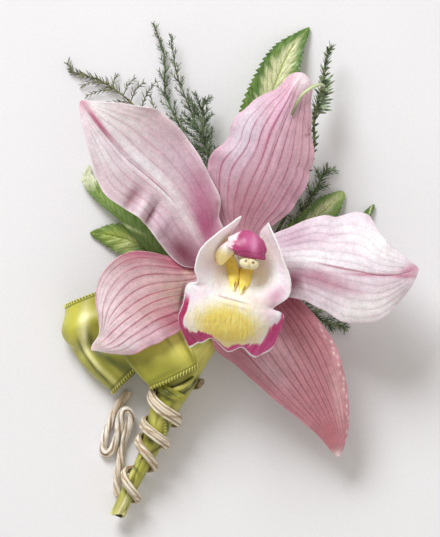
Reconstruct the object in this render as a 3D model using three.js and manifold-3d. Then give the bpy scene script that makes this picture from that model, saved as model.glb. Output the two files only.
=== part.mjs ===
// A pin-on corsage lying on its back: one Cymbidium orchid bloom, with a few leaves and fern and
// rosemary sprigs behind it, its stems bound in satin ribbon and wound with paper twine.
// Millimetres, +Z up. It lies on z = 0 with the bloom facing up and the stem pointing towards -Y.
import * as THREE from "three";
import { mergeVertices } from "three/addons/utils/BufferGeometryUtils.js";
import Module from "manifold-3d";

const wasm = await Module();
wasm.setup();

// ---------------------------------------------------------------- driving dimensions, mm
const CENTRE = [-0.2, 0.25]; // middle of the whole corsage in the drawing's own coordinates
const TEPAL = 1.2; // thickness of a petal or sepal along its middle
const LEAF = 1.0; // thickness of a leaf and of its stalk
const STALK = 0.7; // half width of a leaf stalk
const LIP = 1.1; // thickness of the lip
const RIBBON = 0.8; // one layer of ribbon with its folded-in slack
const WRAP = 0.6; // ribbon wound on the stems
const GAP = 0.3; // clearance between touching pieces
const TWINE = 2.0; // diameter of the paper twine
const FERN_STEM = 0.65; // radius of a fern stem with its finest foliage
const SHOOT = 0.6; // radius of a side shoot where it leaves its stem
const EDGE_THIN = 0.45; // share of a blade's thickness lost at its margin
const TIP_HALF = 0.3; // least half width of a blade, so that its tip stays a closed solid
const FLAT_TIP = 4; // half width under which a blade's margins level out with its midrib
const UPRIGHT = 0.4; // how level a path must run before its sections turn with it
const FAN = 0.15; // how far along a blade its crosswise direction looks, as a share of its length

// The stems' axis from the cut end up to the back of the bloom: x, y, z and the ribbon's outer radius.
const STEM = [
  [-33.2, -65.6, 4.2, 2.15], [-30.8, -60.3, 4.65, 2.1], [-26.4, -51.2, 5.6, 2.35],
  [-22.7, -43.2, 6.7, 3.1], [-19.7, -34.9, 7.8, 4.1], [-16.5, -28.8, 8.7, 4.5],
  [-12.3, -21.3, 9.7, 4.6], [-6.9, -12.3, 10.6, 4.6],
];
const WRAP_TOP = 6.35; // where the ribbon winding ends, counted along the rows of STEM
const CORE_FOOT = 0.35; // how far inside the ribbon the cut stems end, in the same count
const RECEPTACLE = [0.7, 4.0, 11.75]; // top of the flower stalk, under the column's foot
const SLOT_GAP = 0.85; // from the taped stems' end to the stalks that come out of it

// Angle of the twine round the stem, in half turns, against its distance from the cut end, mm.
// Even angles lie at the stem's right side and odd ones at its left.
const TWINE_TURNS = [
  [0, 42.6], [1, 34.6], [2, 29.9], [3, 26.4], [4, 23.2], [5, 21.4], [6, 16.4], [7, 11.6], [8, 6.6],
  [9, 5.0],
];
const TWINE_END = 8.6; // the half turn at which it leaves the stem, at its lower left

// ---------------------------------------------------------------- materials
function paint(colour, roughness, metalness = 0) {
  return new THREE.MeshStandardMaterial({ color: colour, roughness, metalness });
}
const ROSE = paint(0xcf9fb6, 0.55);
const PALE = paint(0xe4ccd8, 0.55);
const LIP_WHITE = paint(0xf2e6d8, 0.5);
const MAGENTA = paint(0xb23b82, 0.4);
const CREAM = paint(0xebe1b4, 0.5);
const STALK_GREEN = paint(0x8fa860, 0.6);
const LEAF_GREEN = paint(0x6b9636, 0.55);
const FERN_GREEN = paint(0x39503c, 0.8);
const NEEDLE_GREEN = paint(0x486046, 0.7);
const TAPE_GREEN = paint(0x5d7a45, 0.85);
const SATIN = paint(0xb4b83a, 0.35);
const PAPER = paint(0xcdbf9f, 0.85);

// ---------------------------------------------------------------- geometry helpers
const clamp = THREE.MathUtils.clamp;

// Smooth value at t in 0..1 of an evenly spaced list of numbers.
function smooth(list, t) {
  const x = clamp(t, 0, 1) * (list.length - 1);
  const i = Math.min(Math.floor(x), list.length - 2);
  const f = x - i;
  const at = (k) => list[clamp(k, 0, list.length - 1)];
  const [a, b, c, d] = [at(i - 1), at(i), at(i + 1), at(i + 2)];
  const pull = (2 * a - 5 * b + 4 * c - d) * f + (-a + 3 * b - 3 * c + d) * f * f;
  return 0.5 * (2 * b + (c - a) * f + pull * f);
}

function curve(points) {
  return new THREE.CatmullRomCurve3(points.map((p) => new THREE.Vector3(...p)), false, "centripetal");
}

// A surface through a net of points: rows run along u, and each row runs along v.
function netSurface(rows) {
  const mix = (u, v, k) => smooth(rows.map((row) => smooth(row.map((p) => p[k]), v)), u);
  return (u, v) => new THREE.Vector3(mix(u, v, 0), mix(u, v, 1), mix(u, v, 2));
}

// A petal or leaf: a midrib, the width on each side of it, and how far each margin stands above it,
// all from base to tip. The tip is rounded over its last part. The crosswise direction is taken off a
// chord of the midrib, so that rows fan out on the inside of a bend and don't cross.
function bladeSurface({ rib, left, right, liftLeft = [0, 0], liftRight = [0, 0], round = 0.9 }) {
  const line = curve(rib);
  return (u, v) => {
    const t = 1 - (1 - u) ** 1.4;
    const s = 1 - 2 * v;
    const middle = line.getPointAt(t);
    const chord = line.getPointAt(Math.min(1, t + FAN)).sub(line.getPointAt(Math.max(0, t - FAN)));
    const side = new THREE.Vector3(-chord.y, chord.x, 0).normalize();
    const tip = Math.sqrt(Math.max(0, 1 - Math.max(0, (t - round) / (1 - round)) ** 2));
    const width = Math.max(TIP_HALF, smooth(s > 0 ? left : right, t) * tip);
    const lift = smooth(s > 0 ? liftLeft : liftRight, t) * s * s * Math.min(1, width / FLAT_TIP);
    return middle.addScaledVector(side, s * width).add(new THREE.Vector3(0, 0, lift));
  };
}

function normalAt(surface, u, v) {
  const step = 2e-3;
  const du = surface(Math.min(1, u + step), v).sub(surface(Math.max(0, u - step), v));
  const dv = surface(u, Math.min(1, v + step)).sub(surface(u, Math.max(0, v - step)));
  return du.cross(dv).normalize();
}

function closedGeometry(points, faces) {
  const geometry = new THREE.BufferGeometry();
  const flat = points.flatMap((p) => p.toArray());
  geometry.setAttribute("position", new THREE.Float32BufferAttribute(flat, 3));
  let volume = 0;
  for (const [a, b, c] of faces) volume += points[a].dot(points[b].clone().cross(points[c]));
  geometry.setIndex(faces.flatMap(([a, b, c]) => (volume > 0 ? [a, b, c] : [a, c, b])));
  geometry.computeVertexNormals();
  return geometry;
}

// A thin closed solid on both sides of a surface; thin is the share of thickness lost at v = 0 and 1.
function sheetSolid(surface, nu, nv, thickness, thin = 0) {
  const points = [];
  const faces = [];
  for (const face of [0.5, -0.5])
    for (let i = 0; i <= nu; i++)
      for (let j = 0; j <= nv; j++) {
        const [u, v] = [i / nu, j / nv];
        const depth = face * thickness * (1 - thin * Math.abs(1 - 2 * v) ** 4);
        points.push(surface(u, v).addScaledVector(normalAt(surface, u, v), depth));
      }
  const at = (face, i, j) => (face * (nu + 1) + i) * (nv + 1) + j;
  const quad = (a, b, c, d) => faces.push([a, b, c], [a, c, d]);
  for (let i = 0; i < nu; i++)
    for (let j = 0; j < nv; j++) {
      quad(at(0, i, j), at(0, i + 1, j), at(0, i + 1, j + 1), at(0, i, j + 1));
      quad(at(1, i, j), at(1, i, j + 1), at(1, i + 1, j + 1), at(1, i + 1, j));
    }
  for (let i = 0; i < nu; i++) {
    quad(at(0, i, 0), at(1, i, 0), at(1, i + 1, 0), at(0, i + 1, 0));
    quad(at(0, i + 1, nv), at(1, i + 1, nv), at(1, i, nv), at(0, i, nv));
  }
  for (let j = 0; j < nv; j++) {
    quad(at(0, 0, j + 1), at(1, 0, j + 1), at(1, 0, j), at(0, 0, j));
    quad(at(0, nu, j), at(1, nu, j), at(1, nu, j + 1), at(0, nu, j + 1));
  }
  return closedGeometry(points, faces);
}

// Rings of points along a path; rows of sizes are [half width across, half height] from end to end.
function rings(path, sizes, sides, steps) {
  const line = curve(path);
  const list = [];
  let last = new THREE.Vector3(1, 0, 0);
  for (let i = 0; i <= steps; i++) {
    const t = i / steps;
    const along = line.getTangentAt(t);
    const level = new THREE.Vector3(along.y, -along.x, 0);
    const upright = level.length() < UPRIGHT;
    const side = upright ? last.clone() : level;
    if (i > 0 && side.dot(last) < 0) side.negate();
    side.addScaledVector(along, -side.dot(along)).normalize();
    last = side;
    const up = new THREE.Vector3().crossVectors(side, along);
    const [a, b] = [0, 1].map((k) => smooth(sizes.map((size) => size[k]), t));
    const middle = line.getPointAt(t);
    list.push(
      Array.from({ length: sides }, (_, j) => {
        const turn = (2 * Math.PI * j) / sides;
        const p = middle.clone().addScaledVector(side, a * Math.cos(turn));
        return p.addScaledVector(up, b * Math.sin(turn));
      }),
    );
  }
  return list;
}

// A closed solid through rings of points, with flat ends.
function loft(list) {
  const sides = list[0].length;
  const points = list.flat();
  const faces = [];
  for (let i = 0; i + 1 < list.length; i++)
    for (let j = 0; j < sides; j++) {
      const [a, b] = [i * sides + j, i * sides + ((j + 1) % sides)];
      faces.push([a, b, b + sides], [a, b + sides, a + sides]);
    }
  const last = (list.length - 1) * sides;
  for (let j = 1; j + 1 < sides; j++) {
    faces.push([0, j + 1, j], [last, last + j, last + j + 1]);
  }
  return closedGeometry(points, faces);
}

function limb(path, radii, sides = 8, steps = 12) {
  return loft(rings(path, radii.map((r) => (Array.isArray(r) ? r : [r, r])), sides, steps));
}

// A round ring profile carried along a path: an open tube with a wall.
function sleeve(path, radii, wall, sides, steps) {
  const outer = rings(path, radii.map((r) => [r, r]), sides, steps);
  const inner = rings(path, radii.map((r) => [r - wall, r - wall]), sides, steps);
  const points = [...outer, ...inner].flat();
  const faces = [];
  const at = (i, j) => i * sides + (j % sides);
  const quad = (a, b, c, d) => faces.push([a, b, c], [a, c, d]);
  for (let j = 0; j < sides; j++) {
    for (let i = 0; i < steps; i++) {
      quad(at(i, j), at(i, j + 1), at(i + 1, j + 1), at(i + 1, j));
      const k = i + steps + 1;
      quad(at(k, j + 1), at(k, j), at(k + 1, j), at(k + 1, j + 1));
    }
    quad(at(steps + 1, j), at(steps + 1, j + 1), at(0, j + 1), at(0, j));
    quad(at(steps, j), at(steps, j + 1), at(2 * steps + 1, j + 1), at(2 * steps + 1, j));
  }
  return closedGeometry(points, faces);
}

function cordTube(path, diameter, steps) {
  const ring = new THREE.Shape();
  ring.absarc(0, 0, diameter / 2, 0, 2 * Math.PI);
  const section = new THREE.Shape(ring.getSpacedPoints(8).slice(0, 8));
  return new THREE.ExtrudeGeometry(section, { steps, extrudePath: curve(path), bevelEnabled: false });
}

function solid(geometry) {
  const plain = geometry.clone();
  for (const name of Object.keys(plain.attributes)) if (name !== "position") plain.deleteAttribute(name);
  const merged = mergeVertices(plain, 1e-4);
  return new wasm.Manifold(
    new wasm.Mesh({
      numProp: 3,
      vertProperties: new Float32Array(merged.attributes.position.array),
      triVerts: new Uint32Array(merged.index.array),
    }),
  );
}

function joined(geometries) {
  const mesh = geometries.map(solid).reduce((sum, next) => sum.add(next)).getMesh();
  const geometry = new THREE.BufferGeometry();
  geometry.setAttribute("position", new THREE.BufferAttribute(mesh.vertProperties, 3));
  geometry.setIndex(new THREE.BufferAttribute(mesh.triVerts, 1));
  geometry.computeVertexNormals();
  return geometry;
}

const root = new THREE.Group();

function add(name, geometry, material) {
  const mesh = new THREE.Mesh(geometry, material);
  mesh.name = name;
  root.add(mesh);
}

function addTepal(name, material, shape) {
  add(name, sheetSolid(bladeSurface(shape), 14, 6, TEPAL, EDGE_THIN), material);
}

// ---------------------------------------------------------------- the bound stems
const stemLine = curve(STEM.map((row) => row.slice(0, 3)));

// Point of the stem axis at a count along the rows of STEM, and the ribbon's radius there.
function stemAt(count) {
  const t = count / (STEM.length - 1);
  const radius = smooth(STEM.map((row) => row[3]), t);
  return { point: stemLine.getPoint(t), along: stemLine.getTangent(t), radius };
}

function stemStretch(from, to, steps, inset) {
  const counts = Array.from({ length: steps + 1 }, (_, i) => from + ((to - from) * i) / steps);
  return {
    path: counts.map((c) => stemAt(c).point.toArray()),
    radii: counts.map((c) => stemAt(c).radius - inset),
  };
}

function addRibbonWrap() {
  const { path, radii } = stemStretch(0, WRAP_TOP, 10, 0);
  add("ribbon_stem_wrap", sleeve(path, radii, WRAP, 12, 16), SATIN);
}

function addTapedStems() {
  const { path, radii } = stemStretch(CORE_FOOT, STEM.length - 1, 10, WRAP + GAP);
  add("taped_stems", limb(path, radii, 10, 14), TAPE_GREEN);
}

// A point off the winding: a count along the rows of STEM, an angle round it and a stand-off.
function onStem(count, degrees, standoff) {
  const { point, along, radius } = stemAt(count);
  const side = new THREE.Vector3(along.y, -along.x, 0).normalize();
  const up = new THREE.Vector3().crossVectors(side, along);
  const turn = THREE.MathUtils.degToRad(degrees);
  point.addScaledVector(side, (radius + standoff) * Math.cos(turn));
  return point.addScaledVector(up, (radius + standoff) * Math.sin(turn));
}

// A place on the taped stems' upper end, across and above its middle, where a stalk comes out.
function slot(across, up) {
  const end = stemAt(STEM.length - 1);
  const side = new THREE.Vector3(end.along.y, -end.along.x, 0).normalize();
  const rise = new THREE.Vector3().crossVectors(side, end.along);
  const p = end.point.clone().addScaledVector(end.along, SLOT_GAP);
  return p.addScaledVector(side, across).addScaledVector(rise, up).toArray();
}

function addFlowerStalk() {
  const path = [slot(0, 2.5), [-4.0, -7.0, 11.9], [-1.2, -2.0, 10.2], [0.5, 2.4, 10.1], RECEPTACLE];
  add("flower_stalk", limb(path, [1.3, 1.4, 1.5, 1.5, 1.6], 8, 12), STALK_GREEN);
}

// ---------------------------------------------------------------- the bloom
function addDorsalSepal() {
  addTepal("dorsal_sepal", ROSE, {
    rib: [
      [0.4, 8.2, 13.8], [0.6, 14.0, 15.0], [3.2, 20.5, 16.6], [6.9, 29.0, 18.6], [9.6, 37.0, 19.8],
      [12.4, 43.6, 20.0], [14.2, 48.0, 19.4], [16.6, 53.0, 18.2],
    ],
    left: [3.2, 7.4, 12.2, 14.6, 14.2, 12.2, 10.6, 5.2, 3.2],
    right: [3.2, 8.0, 11.0, 12.0, 12.6, 11.0, 7.6, 5.2, 3.4],
    liftLeft: [0, -0.6, -1.4, -2.2, -3.0, -3.4, -3.4, -1.6, -0.6],
    liftRight: [0, -0.6, -1.6, -2.8, -3.8, -4.2, -3.4, -2.0, -0.6],
    round: 0.93,
  });
}

function addLeftPetal() {
  addTepal("left_petal", PALE, {
    rib: [
      [-3.6, 5.6, 15.9], [-10.6, 7.0, 17.6], [-14.0, 13.4, 19.6], [-18.1, 19.2, 21.4],
      [-24.0, 24.6, 23.6], [-30.6, 30.2, 25.8], [-36.0, 36.0, 27.6], [-39.6, 40.4, 28.4],
      [-42.6, 45.6, 28.0],
    ],
    left: [3.4, 7.2, 9.6, 9.8, 10.2, 10.4, 6.8, 3.6, 1.4],
    right: [3.4, 8.2, 10.4, 11.9, 14.5, 15.5, 14.6, 9.4, 1.6],
    liftLeft: [0, 0.1, 0.5, 0.8, 1.4, 1.0, 0.4, 0.6, 0.4],
    liftRight: [0, -0.4, -1.2, -2.2, -2.8, -2.4, -1.2, 0.8, 0.4],
    round: 0.95,
  });
}

function addRightPetal() {
  addTepal("right_petal", PALE, {
    rib: [
      [3.45, 3.6, 15.7], [10.4, 2.9, 17.7], [16.2, 3.0, 19.4], [21.5, 2.2, 20.8],
      [26.7, 1.1, 22.0], [31.9, 0.1, 22.8], [37.1, -1.0, 23.0], [42.4, -0.7, 22.2],
      [47.3, 0.9, 20.6],
    ],
    left: [3.6, 7.6, 10.2, 13.1, 15.4, 14.3, 10.8, 7.2, 1.8],
    right: [3.6, 8.8, 9.9, 10.9, 12.3, 13.8, 12.2, 6.6, 1.8],
    liftLeft: [0, -0.4, -1.0, -1.8, -2.4, -2.4, -1.6, -0.8, 0],
    liftRight: [0, -0.2, -0.6, -1.4, -2.6, -3.4, -3.0, -1.4, 0],
    round: 0.94,
  });
}

function addLeftLateralSepal() {
  addTepal("left_lateral_sepal", ROSE, {
    rib: [
      [-3.6, 0.2, 13.8], [-10.2, -3.0, 15.5], [-15.3, -4.6, 17.2], [-20.4, -5.6, 18.6],
      [-25.3, -7.2, 19.5], [-29.6, -10.2, 19.8], [-33.6, -13.6, 19.6], [-36.8, -17.0, 18.6],
      [-39.8, -20.9, 16.8],
    ],
    left: [3.4, 7.0, 8.7, 10.6, 11.8, 11.4, 9.4, 7.4, 1.4],
    right: [3.4, 5.0, 7.4, 10.2, 13.0, 12.4, 8.4, 2.6, 1.2],
    liftLeft: [0, 0, -0.4, -0.8, -1.2, -1.4, -1.6, -1.6, 0],
    liftRight: [0, -0.5, -0.3, 1.1, 2.4, 2.6, 1.8, 0.8, 0],
    round: 0.95,
  });
}

function addRightLateralSepal() {
  addTepal("right_lateral_sepal", ROSE, {
    rib: [
      [1.6, 1.2, 13.8], [6.4, -8.0, 14.6], [10.8, -15.7, 15.2], [13.9, -21.6, 15.4],
      [17.0, -27.2, 15.0], [20.0, -32.6, 14.0], [22.9, -38.0, 12.4], [25.1, -43.6, 10.4],
      [26.1, -49.3, 8.0],
    ],
    left: [3.4, 9.6, 12.4, 12.0, 10.8, 9.6, 7.2, 4.2, 1.2],
    right: [3.4, 8.4, 12.4, 12.8, 11.0, 9.2, 7.0, 4.2, 1.2],
    liftLeft: [0, 0, 0.2, 0.6, 1.0, 1.2, 1.0, 0.4, 0],
    liftRight: [0, -0.6, -1.2, -1.4, -1.2, -0.8, -0.4, 0, 0],
    round: 0.96,
  });
}

// The lip: two erect side lobes round the column, then a broad lobe that folds back at its margin.
// Rows run from the throat to the front margin, and each row from the left rim to the right rim.
const LIP_NET = [
  [
    [0, 14.9, 28], [-2.6, 10.5, 23], [-3.7, 6.0, 19.4], [0.8, 2.5, 17.4], [5.6, 5.2, 19.4],
    [5.4, 10.4, 23], [7.2, 13.1, 28],
  ],
  [
    [-6.7, 10.1, 30.5], [-5.8, 6.3, 24.5], [-4.5, 3.0, 20], [0.2, 0.2, 18.8], [5.4, 2.4, 20],
    [8.0, 6, 24.5], [9.6, 8, 30],
  ],
  [
    [-10.9, 6.1, 31.5], [-8.2, 3.4, 25.5], [-4.8, 0.4, 21.3], [-0.5, -1.2, 20.3], [4.2, 0, 21.3],
    [8.8, 2.6, 25.5], [11.4, 3.2, 30.5],
  ],
  [
    [-12.5, 1.1, 31], [-8.8, -0.4, 27], [-5, -2.2, 23.6], [-1.2, -3, 22.8], [2.6, -3, 23.6],
    [9.2, -1.6, 27], [13.3, -2.1, 30.5],
  ],
  [
    [-11.8, -2.4, 30], [-8.8, -3.5, 28], [-5.6, -4.6, 26.5], [-1.6, -5.2, 26], [2.1, -5.3, 26.5],
    [7.9, -5.4, 28.4], [12.7, -6.6, 30],
  ],
  [
    [-14.4, -3.4, 28.5], [-10.9, -5.3, 29.5], [-6.9, -7, 29.5], [-1.9, -8, 29.5], [2.4, -8.5, 30],
    [6.0, -8.9, 29.6], [8.6, -9.7, 28.6],
  ],
  [
    [-15.4, -8.3, 26.8], [-12, -10.1, 29.6], [-7.7, -11.7, 30.3], [-2.1, -12.8, 30],
    [2.9, -12.8, 30.3], [7.4, -12.2, 29.8], [11.4, -11.3, 27.5],
  ],
  [
    [-16.6, -12.8, 23.8], [-13.1, -14.7, 27], [-8.3, -16.3, 28.6], [-2.4, -17.3, 28.3],
    [2.9, -17.3, 28.4], [7.6, -15.6, 27.6], [11.3, -13.8, 25],
  ],
  [
    [-13.8, -20.2, 21], [-10.9, -18.9, 24], [-8, -18, 26.2], [-3.6, -20.8, 23], [0.2, -20.4, 25],
    [4.6, -22.7, 21.8], [9.2, -18.8, 22.4],
  ],
];

function addLip() {
  add("lip", sheetSolid(netSurface(LIP_NET), 16, 14, LIP, EDGE_THIN), LIP_WHITE);
}

function addColumn() {
  const axis = [
    [0.6, 4.0, 12.8], [0.6, 4.2, 14.4], [0.9, 6.6, 17.8], [1.3, 7.3, 21.5], [1.5, 7.4, 25.0],
    [1.6, 7.2, 28.5], [1.7, 6.6, 31.5], [1.8, 5.6, 33.6],
  ];
  const sizes = [
    [2.4, 2.4], [2.3, 2.2], [2.3, 2.2], [2.5, 2.4], [3.4, 2.8], [4.8, 3.6], [5.0, 3.8], [2.2, 1.6],
  ];
  add("column", limb(axis, sizes, 12, 18), MAGENTA);
}

function addAntherCap() {
  const axis = [[2.1, 2.3, 32.8], [2.1, 1.9, 31.4], [2.1, 1.6, 30.0]];
  add("anther_cap", limb(axis, [[1.5, 0.8], [2.6, 1.3], [1.5, 0.8]], 10, 6), CREAM);
}

// ---------------------------------------------------------------- leaves
function addLeaf(name, shape) {
  const even = { liftLeft: [0.6, 0.8, 1, 0.4], liftRight: [0.6, 0.8, 1, 0.4], round: 0.97 };
  add(name, sheetSolid(bladeSurface({ ...even, ...shape }), 16, 4, LEAF, EDGE_THIN), LEAF_GREEN);
}

function addLeaves() {
  addLeaf("top_leaf", {
    rib: [
      slot(-1.0, 0.3), [-4.2, -4.0, 8.8], [-0.6, 10.0, 7.0], [3.5, 29.9, 6.2], [6.8, 43.0, 5.4],
      [10.0, 52.2, 4.2], [13.3, 59.4, 2.6], [18.3, 65.5, 0.6],
    ],
    left: [STALK, STALK, STALK, 3.4, 6.0, 6.8, 6.4, 4.8, 0.8],
    right: [STALK, STALK, STALK, 3.2, 5.6, 6.2, 5.6, 4.4, 0.8],
  });
  addLeaf("left_leaf_upper", {
    rib: [
      slot(-2.8, 0.4), [-10.8, -7.4, 9.9], [-14.4, -2.8, 9.2], [-20.4, 3.2, 8.0],
      [-27.5, 9.8, 6.0], [-33.4, 15.4, 4.0], [-38.8, 20.8, 2.0], [-42.8, 24.6, 0.6],
    ],
    left: [STALK, STALK, 2.6, 4.8, 5.6, 5.4, 4.6, 3.4, 0.8],
    right: [STALK, STALK, 3.0, 5.6, 6.4, 6.4, 5.6, 4.2, 0.8],
  });
  addLeaf("left_leaf_lower", {
    rib: [
      slot(-3.6, -1.2), [-13.8, -5.8, 7.2], [-21.0, 3.0, 4.6], [-29.0, 8.0, 2.8],
      [-35.0, 9.8, 1.5], [-40.4, 10.4, 0.6],
    ],
    left: [STALK, STALK, 2.0, 3.8, 4.6, 4.6, 4.2, 3.0, 0.7],
    right: [STALK, STALK, 2.0, 4.2, 5.0, 4.8, 4.2, 3.0, 0.7],
    liftLeft: [0.3, 0.3, 0.3, 0.1],
    liftRight: [0.3, 0.3, 0.3, 0.1],
  });
  addLeaf("right_leaf", {
    rib: [
      slot(1.1, 0.3), [1.6, -5.2, 8.4], [9.0, 4.2, 7.2], [17.0, 11.8, 5.2], [22.6, 16.8, 3.3],
      [27.6, 21.4, 0.6],
    ],
    left: [STALK, STALK, 1.2, 3.4, 4.8, 4.8, 4.2, 3.0, 0.7],
    right: [STALK, STALK, 1.2, 3.4, 4.8, 4.8, 4.0, 2.8, 0.7],
  });
  addLeaf("small_leaf", {
    rib: [
      slot(3.2, 0.3), [5.8, -7.8, 8.6], [17.0, 0.6, 6.4], [27.0, 8.0, 4.0], [32.8, 14.0, 1.8],
      [35.7, 18.0, 0.6],
    ],
    left: [STALK, STALK, STALK, 1.6, 2.6, 2.8, 2.6, 1.8, 0.6],
    right: [STALK, STALK, STALK, 1.6, 2.6, 2.8, 2.4, 1.6, 0.6],
  });
}

// ---------------------------------------------------------------- fern and rosemary sprigs
// A stem with pairs of tapered side shoots from one share of its length to its tip; reach gives the
// shoots' length from first to last, and lean their angle off the stem.
function feather({ path, from, pairs, reach, lean = 0.75, stem = FERN_STEM, shoot = SHOOT, rise = 0 }) {
  const line = curve(path);
  const pieces = [limb(path, [stem, stem, stem * 0.9, stem * 0.8], 5, path.length * 2)];
  for (let i = 0; i < 2 * pairs; i++) {
    const t = from + ((0.97 - from) * i) / (2 * pairs - 1);
    const start = line.getPointAt(t);
    const along = line.getTangentAt(t);
    const side = new THREE.Vector3(-along.y, along.x, 0).normalize().multiplyScalar(i % 2 ? -1 : 1);
    const length = smooth(reach, i / (2 * pairs - 1));
    const end = start.clone().addScaledVector(along, length * Math.cos(lean));
    end.addScaledVector(side, length * Math.sin(lean));
    end.z = Math.max(shoot * 0.6, end.z + rise);
    pieces.push(branch(start.toArray(), end.toArray(), shoot));
  }
  return joined(pieces);
}

function branch(from, to, radius) {
  return limb([from, to], [radius, radius * 0.7], 4, 1);
}

function addFerns() {
  const left = [
    slot(-1.4, -1.6), [-12.6, 2.0, 6.4], [-19.6, 25.0, 5.0], [-26.6, 42.0, 2.4],
    [-32.1, 47.7, 1.5], [-38.7, 51.8, 1.0], [-44.8, 53.6, 0.8], [-46.6, 56.2, 0.7],
  ];
  const sideShoots = [
    [[-31.5, 47.4, 1.5], [-28.3, 52.1, 1.2]], [[-29.6, 45.6, 1.7], [-26.0, 51.0, 1.3]],
    [[-26.9, 42.8, 2.3], [-22.6, 51.2, 3.0]], [[-34.6, 49.4, 1.2], [-33.0, 53.2, 1.0]],
    [[-33.0, 48.4, 1.3], [-41.6, 47.2, 0.8]], [[-36.5, 50.8, 1.1], [-43.0, 49.6, 0.8]],
    [[-41.0, 52.6, 0.9], [-46.0, 53.4, 0.7]],
  ];
  const frond = limb(left, [FERN_STEM, FERN_STEM, FERN_STEM, SHOOT], 5, 16);
  const shoots = sideShoots.map(([a, b]) => branch(a, b, SHOOT));
  add("fern_sprig_left", joined([frond, ...shoots]), FERN_GREEN);
  add("fern_sprig_top_outer", feather({
    path: [
      slot(-1.0, -3.5), [-9.4, 4.0, 3.8], [-10.6, 27.0, 2.4], [-16.6, 39.4, 1.8],
      [-20.2, 48.0, 1.2], [-20.6, 58.0, 1.0], [-23.6, 66.8, 0.7],
    ],
    from: 0.64, pairs: 5, reach: [3.6, 4.2, 3.4, 2.0],
  }), FERN_GREEN);
  add("fern_sprig_top_inner", feather({
    path: [
      slot(0.8, -3.4), [-6.2, 4.0, 4.4], [-7.6, 27.0, 3.0], [-13.2, 42.6, 3.6], [-17.0, 52.4, 3.8],
      [-18.9, 63.8, 3.6],
    ],
    from: 0.7, pairs: 4, reach: [3.4, 3.8, 2.6],
  }), FERN_GREEN);
  add("fern_sprig_top_bushy", feather({
    path: [
      slot(0.1, -1.5), [-4.0, -4.0, 6.8], [-3.4, 4.0, 5.6], [-5.2, 25.0, 5.0], [-9.4, 37.0, 5.2],
      [-9.7, 46.6, 5.6],
    ],
    from: 0.66, pairs: 4, reach: [5.4, 6.0, 4.2], shoot: 0.8, rise: 0.6,
  }), FERN_GREEN);
}

function addRosemary() {
  const tall = feather({
    path: [
      slot(1.8, -1.5), [4.0, 1.0, 6.2], [13.4, 18.0, 5.6], [19.4, 33.0, 6.4], [19.6, 40.5, 7.4],
      [21.8, 50.4, 8.2], [23.0, 57.3, 8.0], [24.2, 60.4, 7.6],
    ],
    from: 0.5, pairs: 7, reach: [3.4, 3.6, 3.8, 2.2],
  });
  const curled = limb([
    [21.4, 48.8, 8.2], [22.2, 49.8, 13.0], [21.2, 50.0, 18.6], [18.8, 49.2, 21.4],
    [16.0, 46.9, 22.0], [13.5, 41.9, 21.8],
  ], [0.6, 0.6, 0.6, 0.4], 5, 12);
  add("rosemary_sprig_top", joined([tall, curled]), NEEDLE_GREEN);
  add("rosemary_sprig_middle", feather({
    path: [slot(3.6, -1.5), [6.4, 0.6, 5.2], [15.0, 13.6, 2.2], [19.8, 21.8, 1.2], [23.2, 27.8, 0.8]],
    from: 0.62, pairs: 4, reach: [3.6, 4.0, 3.0],
  }), NEEDLE_GREEN);
  add("rosemary_sprig_lower", feather({
    path: [
      slot(2.5, -2.9), [5.0, -10.8, 5.2], [14.0, -8.4, 3.4], [21.6, -10.6, 1.8],
      [27.6, -15.0, 0.8],
    ],
    from: 0.6, pairs: 4, reach: [3.4, 3.6, 2.8],
  }), NEEDLE_GREEN);
}

// ---------------------------------------------------------------- satin ribbon
// Each net has one row for the upper selvedge, one or more between, and one for the lower selvedge.
const FLAT = RIBBON / 2; // height of a layer that lies flat on the surface
const LOOP_NET = [
  [
    [-24.0, -1.8, FLAT], [-30.0, -3.4, FLAT], [-36.0, -5.4, FLAT], [-42.0, -7.6, FLAT + 0.1],
    [-46.6, -9.1, 1.7], [-47.4, -9.6, 4.2], [-44.6, -8.2, 7.2], [-38.9, -5.6, 8.6],
    [-31.6, -3.2, 9.4], [-23.6, -2.2, 9.8],
  ],
  [
    [-22.0, -9.4, FLAT], [-28.6, -12.8, FLAT], [-35.0, -16.2, FLAT], [-41.4, -19.2, FLAT + 0.1],
    [-45.2, -20.7, 1.7], [-45.9, -20.8, 4.3], [-43.0, -18.6, 7.6], [-37.2, -15.2, 7.8],
    [-29.6, -12.4, 9.2], [-20.4, -12.6, 9.9],
  ],
  [
    [-20.0, -19.0, FLAT], [-23.6, -22.6, FLAT], [-27.4, -26.2, FLAT], [-31.2, -29.8, FLAT + 0.1],
    [-33.5, -32.0, 1.6], [-33.9, -32.3, 3.4], [-32.4, -30.8, 5.6], [-28.6, -26.8, 7.0],
    [-24.6, -24.0, 8.0], [-18.9, -22.1, 9.0],
  ],
];
// The band lies over the bound stems: from a short fold-under at its left to its edge at the right.
const BAND_NET = [
  [
    [-27.8, -8.6, 12.6], [-30.0, -9.8, 12.4], [-31.0, -10.4, 13.2], [-29.8, -9.6, 14.3],
    [-26.0, -6.6, 15.2], [-22.4, -4.0, 15.4], [-20.4, -2.6, 14.6],
  ],
  [
    [-28.0, -20.4, 11.2], [-30.2, -21.4, 11.0], [-31.2, -21.9, 11.9], [-30.0, -21.0, 13.2],
    [-24.2, -17.6, 14.9], [-18.4, -14.8, 15.4], [-15.6, -14.2, 15.1],
  ],
  [
    [-21.9, -30.5, 12.0], [-22.9, -30.9, 11.7], [-23.7, -31.2, 12.6], [-22.7, -30.8, 13.7],
    [-19.2, -29.4, 15.0], [-15.0, -27.3, 15.5], [-11.6, -25.4, 14.7],
  ],
];
// The knot's folded-in end on the front of the stems: along the rows of STEM, degrees round the
// stem from its right side, and how far it stands off the winding.
const KNOT_ROWS = [4.3, 4.48, 4.66];
const KNOT_ANGLES = [40, 72, 104, 134];
const KNOT_STANDOFF = GAP + RIBBON / 2;

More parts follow.
